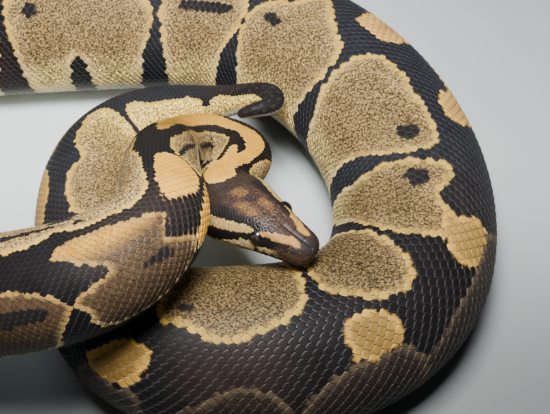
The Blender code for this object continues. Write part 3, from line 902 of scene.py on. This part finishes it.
def store(mesh, name, values):
    """Keeps a number, a direction or a colour for each point of a mesh."""
    kind, field = {1: ("FLOAT", "value"), 3: ("FLOAT_VECTOR", "vector"),
                   4: ("FLOAT_COLOR", "color")}[values[0].size]
    attribute = mesh.attributes.new(name, kind, "POINT")
    attribute.data.foreach_set(field, np.ascontiguousarray(values, np.float32).ravel())


def tube(name, rings, first, last):
    """Closed mesh through rings of points in mm, with a point at each end."""
    count, sides = rings.shape[:2]
    points = np.concatenate([rings.reshape(-1, 3), [first, last]]) * MM
    k, i = np.meshgrid(np.arange(sides), np.arange(count - 1))
    a, b = (i * sides + k).ravel(), (i * sides + (k + 1) % sides).ravel()
    quads = np.stack([a, b, b + sides, a + sides], -1)
    start, end = count * sides, count * sides + 1
    foot = (count - 1) * sides
    caps = [(start, (j + 1) % sides, j) for j in range(sides)]
    caps += [(end, foot + j, foot + (j + 1) % sides) for j in range(sides)]
    mesh = bpy.data.meshes.new(name)
    mesh.from_pydata(points.tolist(), [], quads.tolist() + caps)
    mesh.shade_smooth()
    return mesh


def dress(name, mesh, finish):
    """A piece of the animal, in its place, with its finish."""
    mesh.materials.clear()
    mesh.materials.append(finish)
    return placed(name, mesh)


def skin_depth(s):
    """The skin lies deeper under the thick plates of the head."""
    return np.where(s < HEAD, 0.55, COAT_DEPTH * row_width(s)) * np.clip(s / 2, 0.2, 1)


SIDES = 60
LEAST_HEIGHT = 0.25                      # how far the skin stays off the floor, in mm
stations = np.r_[NOSE * (1 - np.cos(np.linspace(0.12, 1.5, 12))), np.arange(5.2, HEAD, 0.9),
                 np.arange(HEAD, LENGTH - TIP, 1.6),
                 LENGTH - TIP * np.linspace(1, 0.05, 6) ** 2]
around = np.linspace(0, 360, SIDES, endpoint=False)
S, T = np.meshgrid(stations, around, indexing="ij")
skin_points = surface(S, T) - outward(S, T) * skin_depth(S)[..., None]
skin_points[..., 2] = np.maximum(skin_points[..., 2], LEAST_HEIGHT)
tail_end = CENTRES[-1] - ALONG[-1] * 0.1
skin_mesh = tube("python_skin", skin_points, CENTRES[0] + ALONG[0] * 0.3, tail_end)
colours = paint(S, T).reshape(-1, 4)
store(skin_mesh, "paint", np.concatenate([colours, colours[[0, -1]]]))
store(skin_mesh, "edge", np.ones(len(skin_mesh.vertices)))
skin = dress("python_skin", skin_mesh, SKIN_FINISH)
print("skin:", len(skin_mesh.polygons), "faces")

# %% [markdown]
# ## Rows of scales
# A python's scales stand in slanting rows, each one half a step behind its neighbours.
# Rows keep about the same width while the body swells and tapers, so new rows appear at
# the edge of the belly and go again. We follow that: row j lies j widths from the middle
# of the back. Steps along a row are counted by a running sum of one over the step.

# %% Rows of scales
STEP = 1.27                              # length of one step over the row width
MOST_ROWS = 60                           # on either side of the middle of the back
SCALE_EDGE = BELLY_EDGE - 2              # the lowest scales stop a little above the belly's
ticks = np.arange(0, LENGTH, 0.25)
beats = np.r_[0, np.cumsum(0.25 / (STEP * row_width(ticks[:-1])))]


def scale_roots(start, end, edge):
    """Places s, t of the scales between two stations, up to an edge in degrees."""
    s_all, t_all = [], []
    first, last = np.interp((start, end), ticks, beats)
    for row in range(-MOST_ROWS, MOST_ROWS + 1):
        columns = np.arange(math.floor(first) - 1, last + 1) + 0.5 * (row % 2)
        s = np.interp(columns, beats, ticks)
        t = np.degrees(row * row_width(s) / reach(s))
        keep = (s >= start) & (s < end) & (np.abs(t) < edge)
        s_all.append(s[keep])
        t_all.append(t[keep])
    return np.concatenate(s_all), np.concatenate(t_all)


def row_angle(s, t, s_new):
    """Where the row through s, t has got to at s_new."""
    return t * (row_width(s_new) / reach(s_new)) / (row_width(s) / reach(s))


rows_round = 1 + 2 * int(math.radians(SCALE_EDGE) * reach_at(560.0) / row_width(560.0))
print(rows_round, "rows of scales round the middle of the body")

# %% [markdown]
# ## One scale
# A ball python's scale is smooth and nearly flat, a rounded hexagon, drawn out a little
# behind, that dips in front, where its neighbour covers it, and lifts behind. Three rings
# of nine points are enough, because it is repeated thousands of times. It is closed
# underneath, so each is a solid.

# %% One scale
HALF_OUTLINE = ((0.46, 0.21), (0.17, 0.47), (-0.16, 0.48), (-0.50, 0.18))
SCALE_OUTLINE = ((0.61, 0.0), *HALF_OUTLINE, *((x, -y) for x, y in HALF_OUTLINE[::-1]))
SCALE_RINGS = ((0.70, 0.98, 0.0), (0.87, 0.84, 1.0), (1.0, 0.35, 1.0))  # size, height, edge
LIFT = 2.2                               # how much higher the back of a scale is


def one_scale():
    bm = bmesh.new()
    centre = bm.verts.new((0, 0, 1.0))
    rings, edges = [], [0.0]
    for size, height, edge in SCALE_RINGS:
        rings.append([bm.verts.new((x * size, y * size, height + LIFT * x * size))
                      for x, y in SCALE_OUTLINE])
        edges += [edge] * len(SCALE_OUTLINE)
    for k in range(len(SCALE_OUTLINE)):
        j = (k + 1) % len(SCALE_OUTLINE)
        bm.faces.new((centre, rings[0][k], rings[0][j]))
        for inner, outer in zip(rings, rings[1:]):
            bm.faces.new((inner[k], outer[k], outer[j], inner[j]))
    bm.faces.new(rings[-1][::-1])
    mesh = bpy.data.meshes.new("one_scale")
    bm.to_mesh(mesh)
    bm.free()
    places = np.array([v.co for v in mesh.vertices])
    store(mesh, "patch", places * (1, 1, 0))
    store(mesh, "edge", np.array(edges))
    return placed("one_scale", mesh)


ONE_SCALE = one_scale()
print("one scale:", sum(len(p.vertices) - 2 for p in ONE_SCALE.data.polygons), "triangles")

# %% [markdown]
# ## Planting the scales
# Geometry Nodes set one scale on every root. Each root carries its own directions, size,
# colour and place on an unrolled skin, and the tree only has to read them, turn the scale
# so that it stands out of the body and points to the tail, and make it real. The scales
# also get a UV map, OFBake, in which each is a tiny patch at its root's place.
#
# The colour is laid on afterwards. A scale keeps about half of the colour of its root, so
# the edge of a marking is a little stepped. On the neck its rear end is painted darker, as
# painted shade in the pleats between the rows.

# %% Planting the scales
def coat_tree():
    tree = bpy.data.node_groups.new("scale_coat", "GeometryNodeTree")
    new = tree.interface.new_socket
    new("Roots", in_out="INPUT", socket_type="NodeSocketGeometry")
    sockets = {}
    for name, kind in (("One scale", "Object"), ("Finish", "Material"),
                       ("Size jitter", "Float"), ("Patch size", "Float"), ("Seed", "Int")):
        sockets[name] = new(name, in_out="INPUT", socket_type="NodeSocket" + kind).identifier
    new("Coat", in_out="OUTPUT", socket_type="NodeSocketGeometry")
    given = tree.nodes.new("NodeGroupInput").outputs

    def carried(name):
        node = tree.nodes.new("GeometryNodeInputNamedAttribute")
        node.data_type = "FLOAT_VECTOR"
        node.inputs["Name"].default_value = name
        return node.outputs["Attribute"]

    turn = tree.nodes.new("FunctionNodeAxesToRotation")
    turn.primary_axis, turn.secondary_axis = "Z", "X"
    tree.links.new(carried("out"), turn.inputs["Primary Axis"])
    tree.links.new(carried("tailward"), turn.inputs["Secondary Axis"])
    low = maths(tree, "SUBTRACT", 1.0, given["Size jitter"])
    high = maths(tree, "ADD", 1.0, given["Size jitter"])
    random = tree.nodes.new("FunctionNodeRandomValue")
    tree.links.new(low, random.inputs[2])
    tree.links.new(high, random.inputs[3])
    tree.links.new(given["Seed"], random.inputs["Seed"])
    size = vector(tree, "SCALE", carried("size"), random.outputs[1])
    shape = linked(tree, "GeometryNodeObjectInfo", Object=given["One scale"])
    plant = linked(tree, "GeometryNodeInstanceOnPoints", Points=given["Roots"],
                   Instance=shape.outputs["Geometry"], Rotation=turn.outputs[0], Scale=size)
    real = linked(tree, "GeometryNodeRealizeInstances", Geometry=plant.outputs[0])
    spot = vector(tree, "ADD", carried("unrolled"),
                  vector(tree, "SCALE", carried("patch"), given["Patch size"]))
    bake = tree.nodes.new("GeometryNodeStoreNamedAttribute")
    bake.data_type, bake.domain = "FLOAT2", "CORNER"
    bake.inputs["Name"].default_value = "OFBake"
    tree.links.new(real.outputs[0], bake.inputs["Geometry"])
    tree.links.new(spot, bake.inputs["Value"])
    smooth = linked(tree, "GeometryNodeSetShadeSmooth", Geometry=bake.outputs[0])
    finish = linked(tree, "GeometryNodeSetMaterial", Geometry=smooth.outputs[0],
                    Material=given["Finish"])
    tree.links.new(finish.outputs[0], tree.nodes.new("NodeGroupOutput").inputs[0])
    return tree, sockets


COAT_TREE, COAT_SOCKETS = coat_tree()
MARGIN = 0.02                            # of the unrolled sheet, on every side
PATCH_SIZE = 0.003                       # one scale on that sheet
SCALE_SIZE = (1.18, 1.46, 0.085)         # over the step, the row width and the row width
SHORTEST, LONGEST = 0.62, 1.13           # limits of a stretched or crowded step
OWN_COLOUR = 0.55                        # how far a scale keeps the one colour of its root
# painted shade in the pleats between the rows of the neck
PLEAT_SHADE = 0.62                             # how much darker the pleats of the neck are


def unrolled(s, t, start, end):
    """Place on a flat sheet cut from the skin between two stations, in a unit square."""
    across = np.radians(t) * reach(s)
    widest = math.pi * reach(np.linspace(start, end, 50)).max()
    scale = (1 - 2 * MARGIN) / max(end - start, 2 * widest)
    return np.stack([MARGIN + (s - start) * scale, 0.5 + across * scale,
                     np.zeros(s.shape)], -1)


def coat(name, start, end):
    """All the scales of one length of the body, as one mesh."""
    s, t = scale_roots(start, end, SCALE_EDGE)
    width = row_width(s)
    half = 0.5 * STEP * width
    behind = surface(s + half, row_angle(s, t, s + half))
    ahead = surface(s - half, row_angle(s, t, s - half))
    length = np.clip(np.linalg.norm(behind - ahead, axis=-1), SHORTEST * 2 * half,
                     LONGEST * 2 * half)
    out = outward(s, t)
    roots = bpy.data.meshes.new(name + "_roots")
    base = surface(s, t) - out * (COAT_DEPTH * width)[:, None]
    roots.from_pydata((base * MM).tolist(), [], [])
    store(roots, "out", out)
    store(roots, "tailward", unit(behind - ahead))
    store(roots, "size", np.stack([length, width, width], -1) * SCALE_SIZE * MM)
    store(roots, "unrolled", unrolled(s, t, start, end))
    store(roots, "root", np.stack([s, t, np.zeros(s.shape)], -1))
    planted = placed(name + "_roots", roots)
    modifier = planted.modifiers.new("scales", "NODES")
    modifier.node_group = COAT_TREE
    for label, value in (("One scale", ONE_SCALE), ("Finish", SCALE_FINISH),
                         ("Size jitter", 0.03), ("Patch size", PATCH_SIZE), ("Seed", len(s))):
        modifier[COAT_SOCKETS[label]] = value
    ready = planted.evaluated_get(bpy.context.evaluated_depsgraph_get())
    mesh = bpy.data.meshes.new_from_object(ready)
    mesh.name = name
    bpy.data.objects.remove(planted)

    def carried(label):
        values = np.empty(3 * len(mesh.vertices), np.float32)
        mesh.attributes[label].data.foreach_get("vector", values)
        return values.reshape(-1, 3).astype(float)

    (root_s, root_t, _), patch, size = carried("root").T, carried("patch"), carried("size")
    away = (1 - OWN_COLOUR) * patch[:, :2] * size[:, :2] / MM
    painted = paint(root_s + away[:, 0], root_t - np.degrees(away[:, 1] / reach(root_s)))
    # painted shade in the pleats of the neck
    pleat_shade = ease(0.22, 0.46, patch[:, 0]) * ease(160, 100, root_s)
    painted[:, :3] *= (1 - PLEAT_SHADE * pleat_shade)[:, None]
    store(mesh, "paint", painted)
    for extra in ("out", "tailward", "size", "unrolled", "patch", "root"):
        if extra in mesh.attributes:
            mesh.attributes.remove(mesh.attributes[extra])
    print(f"{name}: {len(s)} scales, {sum(len(p.vertices) - 2 for p in mesh.polygons)} triangles")
    return dress(name, mesh, SCALE_FINISH)


TRUNK_COATS = 5
coats = [coat("neck_scales_1", HEAD, 90.0), coat("neck_scales_2", 90.0, SHOULDER),
         coat("forebody_scales_1", SHOULDER, 180.0), coat("forebody_scales_2", 180.0, RIBCAGE)]
cuts = np.linspace(RIBCAGE, VENT, TRUNK_COATS + 1)
for k in range(TRUNK_COATS):
    coats.append(coat(f"trunk_scales_{k + 1}", cuts[k], cuts[k + 1]))
coats.append(coat("tail_scales", VENT, LENGTH - 0.8))
bpy.data.objects.remove(ONE_SCALE)

# %% [markdown]
# ## Belly scales
# Underneath, one wide plate reaches from flank to flank, and the next begins where it
# ends, and under the tail each is split in two. Each is a strip bent round the belly, thin
# in front and lifted behind, which the snake uses to grip the ground.

# %% Belly scales
SCUTE_STEP = 1.62                        # length of a belly scale over the row width
SCUTE_EDGE = BELLY_EDGE - 3.5            # they reach a little under the lowest scales
ACROSS = 14                              # rings from one flank to the other


def scute(s0, s1, t0, t1, lift):
    """Corner points of one plate: rings of four points from one flank to the other."""
    t = np.linspace(t0, t1, ACROSS)
    taper = np.sqrt(np.clip(1 - (2 * (t - t0) / (t1 - t0) - 1) ** 8, 0.05, 1))
    middle, half = 0.5 * (s0 + s1), 0.5 * (s1 - s0) * 1.1
    rings = []
    for share, depth in ((-1, 1.5), (-0.9, 0.75), (0.82, 0.05), (1, 0.5), (0.98, 1.5)):
        s = middle + share * half * taper
        rings.append(surface(s, t) - outward(s, t) * (depth * lift))
    points = np.stack(rings, 1)
    points[..., 2] = np.maximum(points[..., 2], 0.0)
    return points


def belly_scutes(name, start, end, edge=SCUTE_EDGE):
    """Belly scales of one stretch, as one mesh with its OFBake map."""
    points, faces, colours, spots = [], [], [], []
    s0 = start
    while s0 < end:
        width = float(row_width(s0))
        s1 = s0 + SCUTE_STEP * width
        halves = ((edge, 360 - edge),) if s0 < VENT + 4 else ((edge, 179), (181, 360 - edge))
        for t0, t1 in halves:
            plate = scute(s0, s1, t0, t1, COAT_DEPTH * width)
            n, base = plate.shape[1], sum(len(p) for p in points)
            for k in range(ACROSS - 1):
                for j in range(n):
                    a, b = base + k * n + j, base + k * n + (j + 1) % n
                    faces.append((a, b, b + n, a + n))
            faces.append(tuple(base + j for j in range(n))[::-1])
            faces.append(tuple(base + (ACROSS - 1) * n + j for j in range(n)))
            points.append(plate.reshape(-1, 3))
            t = np.repeat(np.linspace(t0, t1, ACROSS), n)
            middle = np.full(t.shape, 0.5 * (s0 + s1))
            colours.append(paint(middle, t))
            flat = unrolled(middle, t - 180, start, end + 10)
            flat[:, 0] += PATCH_SIZE * (np.tile(np.arange(n), ACROSS) / n - 0.5)
            spots.append(flat[:, :2])
        s0 = s1
    mesh = bpy.data.meshes.new(name)
    mesh.from_pydata((np.concatenate(points) * MM).tolist(), [], faces)
    bm = bmesh.new()
    bm.from_mesh(mesh)
    bmesh.ops.recalc_face_normals(bm, faces=bm.faces)
    bm.to_mesh(mesh)
    bm.free()
    store(mesh, "paint", np.concatenate(colours))
    store(mesh, "edge", np.zeros(len(mesh.vertices)))
    layer = mesh.uv_layers.new(name="OFBake")
    corners = np.array([loop.vertex_index for loop in mesh.loops])
    layer.data.foreach_set("uv", np.concatenate(spots)[corners].ravel())
    mesh.shade_smooth()
    mesh.set_sharp_from_angle(angle=math.radians(50))
    print(f"{name}: {len(points)} plates")
    return dress(name, mesh, BELLY_FINISH)


coats.append(belly_scutes("neck_belly_scales", HEAD + 0.5, SHOULDER))
coats.append(belly_scutes("forebody_belly_scales", SHOULDER, RIBCAGE))
coats.append(belly_scutes("trunk_belly_scales", RIBCAGE, VENT))
coats.append(belly_scutes("tail_belly_scales", VENT, LENGTH - 2.5))

# %% [markdown]
# ## Plates of the head
# A head is covered in plates that fit like paving: large ones on the snout, a row along
# each lip, a ring round the eye, small ones over the crown. Paving is what a Voronoi
# diagram draws, so we only plant a seed for each plate. Every point of a fine mesh then
# finds its nearest seed and how far the joint to the next one is: close to a joint the
# surface sinks into a groove, and within a plate it swells.

# %% Seeds of the plates
MOUTH = np.array([(-2, -1.5), (3, -1.8), (9, -2.7), (16, -2.9), (23, -2.2),
                  (MOUTH_BACK, -2.4)])


def cheek_angle(u, above):
    """The t at which the side of the head has a given height over its axis."""
    t = np.linspace(20, 175, 400)
    height = offsets(np.full(t.shape, float(u)), t)[1]
    return float(np.interp(-above, -height, t))


def mouth_height(u):
    """How high the line of the mouth lies over the head's axis."""
    return np.interp(u, MOUTH[:, 0], MOUTH[:, 1])


seeds = [(0.02, 0.0, 1.1)]               # s, t, size of the plate
for u, around, size in ((2.3, 20, 1.2), (2.2, 62, 1.1), (5.6, 19, 1.5), (9.2, 17, 1.5),
                        (9.6, 40, 0.9), (12.6, 8, 1.1), (12.4, 24, 1.2), (15.0, 32, 1.3),
                        (7.4, 52, 0.9), (10.2, 60, 0.9), (6.3, 70, 1.0), (8.9, 78, 0.9),
                        (4.4, 56, 1.0), (11.4, 78, 0.8)):
    seeds += [(u, around, size), (u, -around, size)]
LIP_STEP, RING = 2.45, 2.45              # apart along the lip, and out from the eye, in mm
for k in range(11):                      # upper and lower lip
    u = 1.7 + LIP_STEP * k
    for above, size in ((1.15, 1.15), (-1.0, 0.95)):
        angle = cheek_angle(u, mouth_height(u) + above)
        seeds += [(u, angle, size), (u, -angle, size)]
eye_turn = cheek_angle(EYE_AT[0], EYE_AT[2])
eye_reach = reach_at(EYE_AT[0])
for k in range(10):                      # ring of small scales round the eye
    angle = 2 * math.pi * (k + 0.5) / 10
    u = EYE_AT[0] + RING * math.cos(angle)
    t = eye_turn + math.degrees(RING * math.sin(angle) / eye_reach) * 0.9
    seeds += [(u, t, 0.6), (u, -t, 0.6)]
for u in (3.0, 6.5, 10.5, 15.0):         # chin shields
    seeds += [(u, 168, 1.3), (u, -168, 1.3)]
chosen = np.array(seeds)
chosen_points = surface(chosen[:, 0], chosen[:, 1])
small_s, small_t = scale_roots(1.5, HEAD + 1.5, 179)
sway = 0.26 * row_width(small_s) * np.clip((HEAD - small_s) / 6, 0, 1)
small_s = small_s + sway * chance.uniform(-1, 1, len(small_s))
small_t = small_t + np.degrees(sway / reach(small_s)) * chance.uniform(-1, 1, len(small_t))
small_points = surface(small_s, small_t)
gap = np.linalg.norm(small_points[:, None] - chosen_points[None], axis=-1)
free = (gap > chosen[None, :, 2]).all(1) & ((small_s > 12.5) | (np.abs(small_t) > 62))
seed_s = np.r_[chosen[:, 0], small_s[free]]
seed_t = np.r_[chosen[:, 1], small_t[free]]
seed_size = np.r_[chosen[:, 2], np.full(free.sum(), 0.5)]
seed_points = surface(seed_s, seed_t)
print(len(seeds), "chosen plates and", int(free.sum()), "small ones")

# %% [markdown]
# The openings are sunk into the same mesh: the line of the mouth, the nostrils, the heat
# pits in the lip, and the hollow in which each eye lies; all get painted shade. Above the
# eye the brow stands out a little. At the nape the rear of each plate is painted darker, as
# painted shade in the pleats, like the scales of the neck behind it.

# %% The head
HEAD_TURNS = 300
head_stations = np.r_[NOSE * (1 - np.cos(np.linspace(0.03, 1.45, 34))),
                      np.arange(4.55, HEAD + 0.5, 0.16)]
around = np.linspace(-180, 180, HEAD_TURNS, endpoint=False)
S, T = np.meshgrid(head_stations, around, indexing="ij")
base, out = surface(S, T), outward(S, T)

tree = KDTree(len(seed_points))
for index, point in enumerate(seed_points):
    tree.insert(point, index)
tree.balance()
flat_points = base.reshape(-1, 3)
nearest = np.empty(len(flat_points), int)
to_joint = np.empty(len(flat_points))
for n, point in enumerate(flat_points):
    found = tree.find_n(point, 4)
    place, nearest[n], distance = found[0]
    to_joint[n] = min((other[2] ** 2 - distance ** 2) / (2 * (other[0] - place).length)
                      for other in found[1:])
to_joint = to_joint.reshape(S.shape)
nearest = nearest.reshape(S.shape)
plate = seed_size[nearest]                          # large plates are thicker and flatter
swell = np.clip(to_joint / (0.16 + 0.16 * plate), 0, 1)
rise = (0.10 + 0.05 * plate) * (1 - (1 - swell) ** 2) - 0.21
rise = rise + 0.03 * np.sin(57.0 * nearest) * swell     # no two lie equally high

_, above = offsets(S, T)
front = S < MOUTH_BACK + 0.5
mouth = np.exp(-((above - mouth_height(S)) / 0.2) ** 2) * np.where(front, 1, 0)
rise = rise - 0.55 * mouth * ease(MOUTH_BACK + 0.5, MOUTH_BACK - 1.5, S)


def hollow(u, around, radius, depth, stretch=1.0):
    """A round pit on both sides of the head."""
    place = np.radians(np.abs(T) - around) * reach_at(u)
    return depth * np.exp(-(((S - u) / stretch) ** 2 + place ** 2) / radius ** 2)


rise = rise - hollow(*NOSTRIL, 0.42, 0.75, 1.25)
for u, around_pit in PITS:
    rise = rise - hollow(u, around_pit, 0.48, 0.45, 0.8)
rise = rise + hollow(13.5, 42, 1.8, 0.16, 2.2)      # brow
rise = rise + hollow(8.0, 34, 2.0, 0.12, 2.2)       # ridge from nostril to eye
suture = np.abs(np.radians(T + 1.5) * reach(S)) + np.where((S > 1) & (S < 10.5), 0, 9)
rise = rise - 0.24 * np.exp(-(suture / 0.17) ** 2)
across = np.radians(T) * reach(S)                   # fine creases over the brow and crown
crease = np.sin(2.9 * np.abs(across) + 0.8 * S + 1.3 * np.sin(0.9 * S + 0.6 * across))
crease = np.exp(-(crease / 0.28) ** 2) * ease(7.5, 10, S) * ease(22, 18, S) \
    * ease(60, 48, np.abs(T))
rise = rise + 0.05 * crease
head_points = base + out * rise[..., None]

eye_centre, eye_side, eye_back = (v[0] for v in body_frame(np.array([EYE_AT[0]])))
eye_along = np.cross(eye_back, eye_side)
EYES, eye_rim = {}, np.zeros(S.shape)
for name, hand in (("eye_left", 1), ("eye_right", -1)):
    middle = eye_centre + hand * EYE_AT[1] * eye_side + EYE_AT[2] * eye_back
    axis = unit(hand * 0.93 * eye_side - 0.22 * eye_along + 0.30 * eye_back)
    EYES[name] = (middle, axis)
    away = head_points - middle
    out_along = (away * axis).sum(-1)
    aside = np.linalg.norm(away - out_along[..., None] * axis, axis=-1)
    facing = out_along > 0
    socket = 1.50 + 0.62 * (aside - EYE_OPEN)       # a shallow cone leads down to the ball
    cut = np.clip(out_along - socket, 0, None) * facing * ease(3.2, 2.6, aside)
    head_points = head_points - axis * cut[..., None]
    lid = np.exp(-((aside - EYE_OPEN - 0.25) / 0.22) ** 2) * facing
    head_points = head_points + axis * (0.10 * lid)[..., None]
    sink = ease(EYE_OPEN + 0.05, EYE_OPEN - 0.15, aside) * facing
    inner = middle + 0.6 * (head_points - middle)
    head_points = head_points + (inner - head_points) * sink[..., None]
    eye_rim = np.maximum(eye_rim, np.exp(-((aside - EYE_OPEN + 0.1) / 0.3) ** 2) * facing)

drawn_in = head_points[-1] - out[-1] * 0.9
head_rings = np.concatenate([head_points, drawn_in[None]])
head_mesh = tube("head_plates", head_rings, CENTRES[0] - ALONG[0] * 0.02,
                 read(np.array([HEAD]), CENTRES)[0])
own = np.where(plate > 0.6, 0.25, 0.6) * np.where(S > 4, 1, 0)
seed_turn = (seed_t[nearest] - T + 180) % 360 - 180
head_colours = paint(S + own * (seed_s[nearest] - S), T + own * seed_turn)
# painted shade in the pleats at the nape
pleat_shade = ease(0.10, 0.42, S - seed_s[nearest]) * ease(31, 35, S)
head_colours[..., :3] *= (1 - PLEAT_SHADE * pleat_shade)[..., None]
# painted shade where the mouth, the nostrils and the rims of the eyes sink in
dark = np.clip(1.2 * mouth + hollow(*NOSTRIL, 0.5, 1.0, 1.25) + eye_rim, 0, 1)
head_colours[..., :3] = mixed(head_colours[..., :3], OPENING_SHADE, 0.9 * dark)
head_colours = np.concatenate([head_colours, head_colours[-1:]]).reshape(-1, 4)
store(head_mesh, "paint", np.concatenate([head_colours, head_colours[[0, -1]]]))
# plate edges and the crown's creases are painted paler: partly the pale edge of horn, partly
# painted glints
rim_share = np.maximum((1 - swell) * np.where(plate > 0.6, 0.35, 1.0), 0.6 * crease)
rim_share = np.concatenate([rim_share, rim_share[-1:]]).ravel()
store(head_mesh, "edge", np.r_[rim_share, 0, 0] * 0.9)
head_plates = dress("head_plates", head_mesh, HEAD_FINISH)
print("head:", 2 * len(head_mesh.polygons), "triangles")

# %% [markdown]
# ## The eyes
# A snake has no lids: a clear scale covers the eye, so it is one smooth ball. The
# iris is so dark that the upright slit of the pupil hardly shows. Both are painted by how
# far a point lies from the axis of the eye.

# %% The eyes
PUPIL, IRIS, IRIS_TOP = (0.004, 0.004, 0.004), (0.008, 0.007, 0.007), (0.034, 0.025, 0.018)


def eye_material():
    material, tree, shader = new_material("eye_clear_scale")
    shader.inputs["Roughness"].default_value = 0.24
    shader.inputs["Coat Weight"].default_value = 0.15
    shader.inputs["Coat Roughness"].default_value = 0.15
    fleck = linked(tree, "ShaderNodeTexNoise", Vector=own_place(tree), Scale=4200.0,
                   Detail=3.0).outputs["Fac"]
    colour = blend(tree, "MULTIPLY", 1.0, stored(tree, "paint")["Color"],
                   ramp(tree, fleck, (0.35, 0.5), (0.65, 1.7)))
    tree.links.new(colour, shader.inputs["Base Color"])
    return material


def eyeball(name, middle, axis):
    bm = bmesh.new()
    bmesh.ops.create_uvsphere(bm, u_segments=64, v_segments=48, radius=1.0)
    mesh = bpy.data.meshes.new(name)
    bm.to_mesh(mesh)
    bm.free()
    ball = np.array([v.co for v in mesh.vertices])
    mesh.vertices.foreach_set("co", ((middle + ball * (EYE_RADIUS - 0.02)) * MM)
                              .astype(np.float32).ravel())
    outwards = (ball @ axis)[:, None]
    aside = (ball - outwards * axis) * EYE_RADIUS
    upright = unit(eye_back - (eye_back @ axis) * axis)
    level = np.cross(axis, upright)
    far = np.linalg.norm(aside, axis=1)
    x, y = aside @ level, aside @ upright
    slit = ease(0.06, -0.06, np.abs(x) - 0.24 * np.sqrt(np.clip(1 - (y / 1.15) ** 2, 0, 1)))
    iris = mixed(np.tile(IRIS, (len(ball), 1)), IRIS_TOP, ease(-0.1, 1.2, y))
    iris = mixed(iris, PUPIL, np.clip(slit + ease(1.35, 1.6, far), 0, 1))
    store(mesh, "paint", np.concatenate([iris, np.ones((len(ball), 1))], 1))
    mesh.shade_smooth()
    mesh.update()
    return dress(name + "_ball", mesh, EYE_FINISH)


EYE_FINISH = eye_material()
for name, (middle, axis) in EYES.items():
    ball = eyeball(name, middle, axis)
    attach(ball, "root")
    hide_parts(name)
print("eyes:", ", ".join(EYES), "of radius", EYE_RADIUS, "mm")

# %% [markdown]
# ## Put together
# The model is still, so every piece rides on the one body. The skin stands for all the
# solids of flesh, from the head to the last length of the tail.

# %% Put together
flesh = [name for name in frame["nodes"] if not name.startswith("eye")]
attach(skin, "root")
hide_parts(*flesh)
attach(head_plates, "root")
for piece in coats:
    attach(piece, "root")
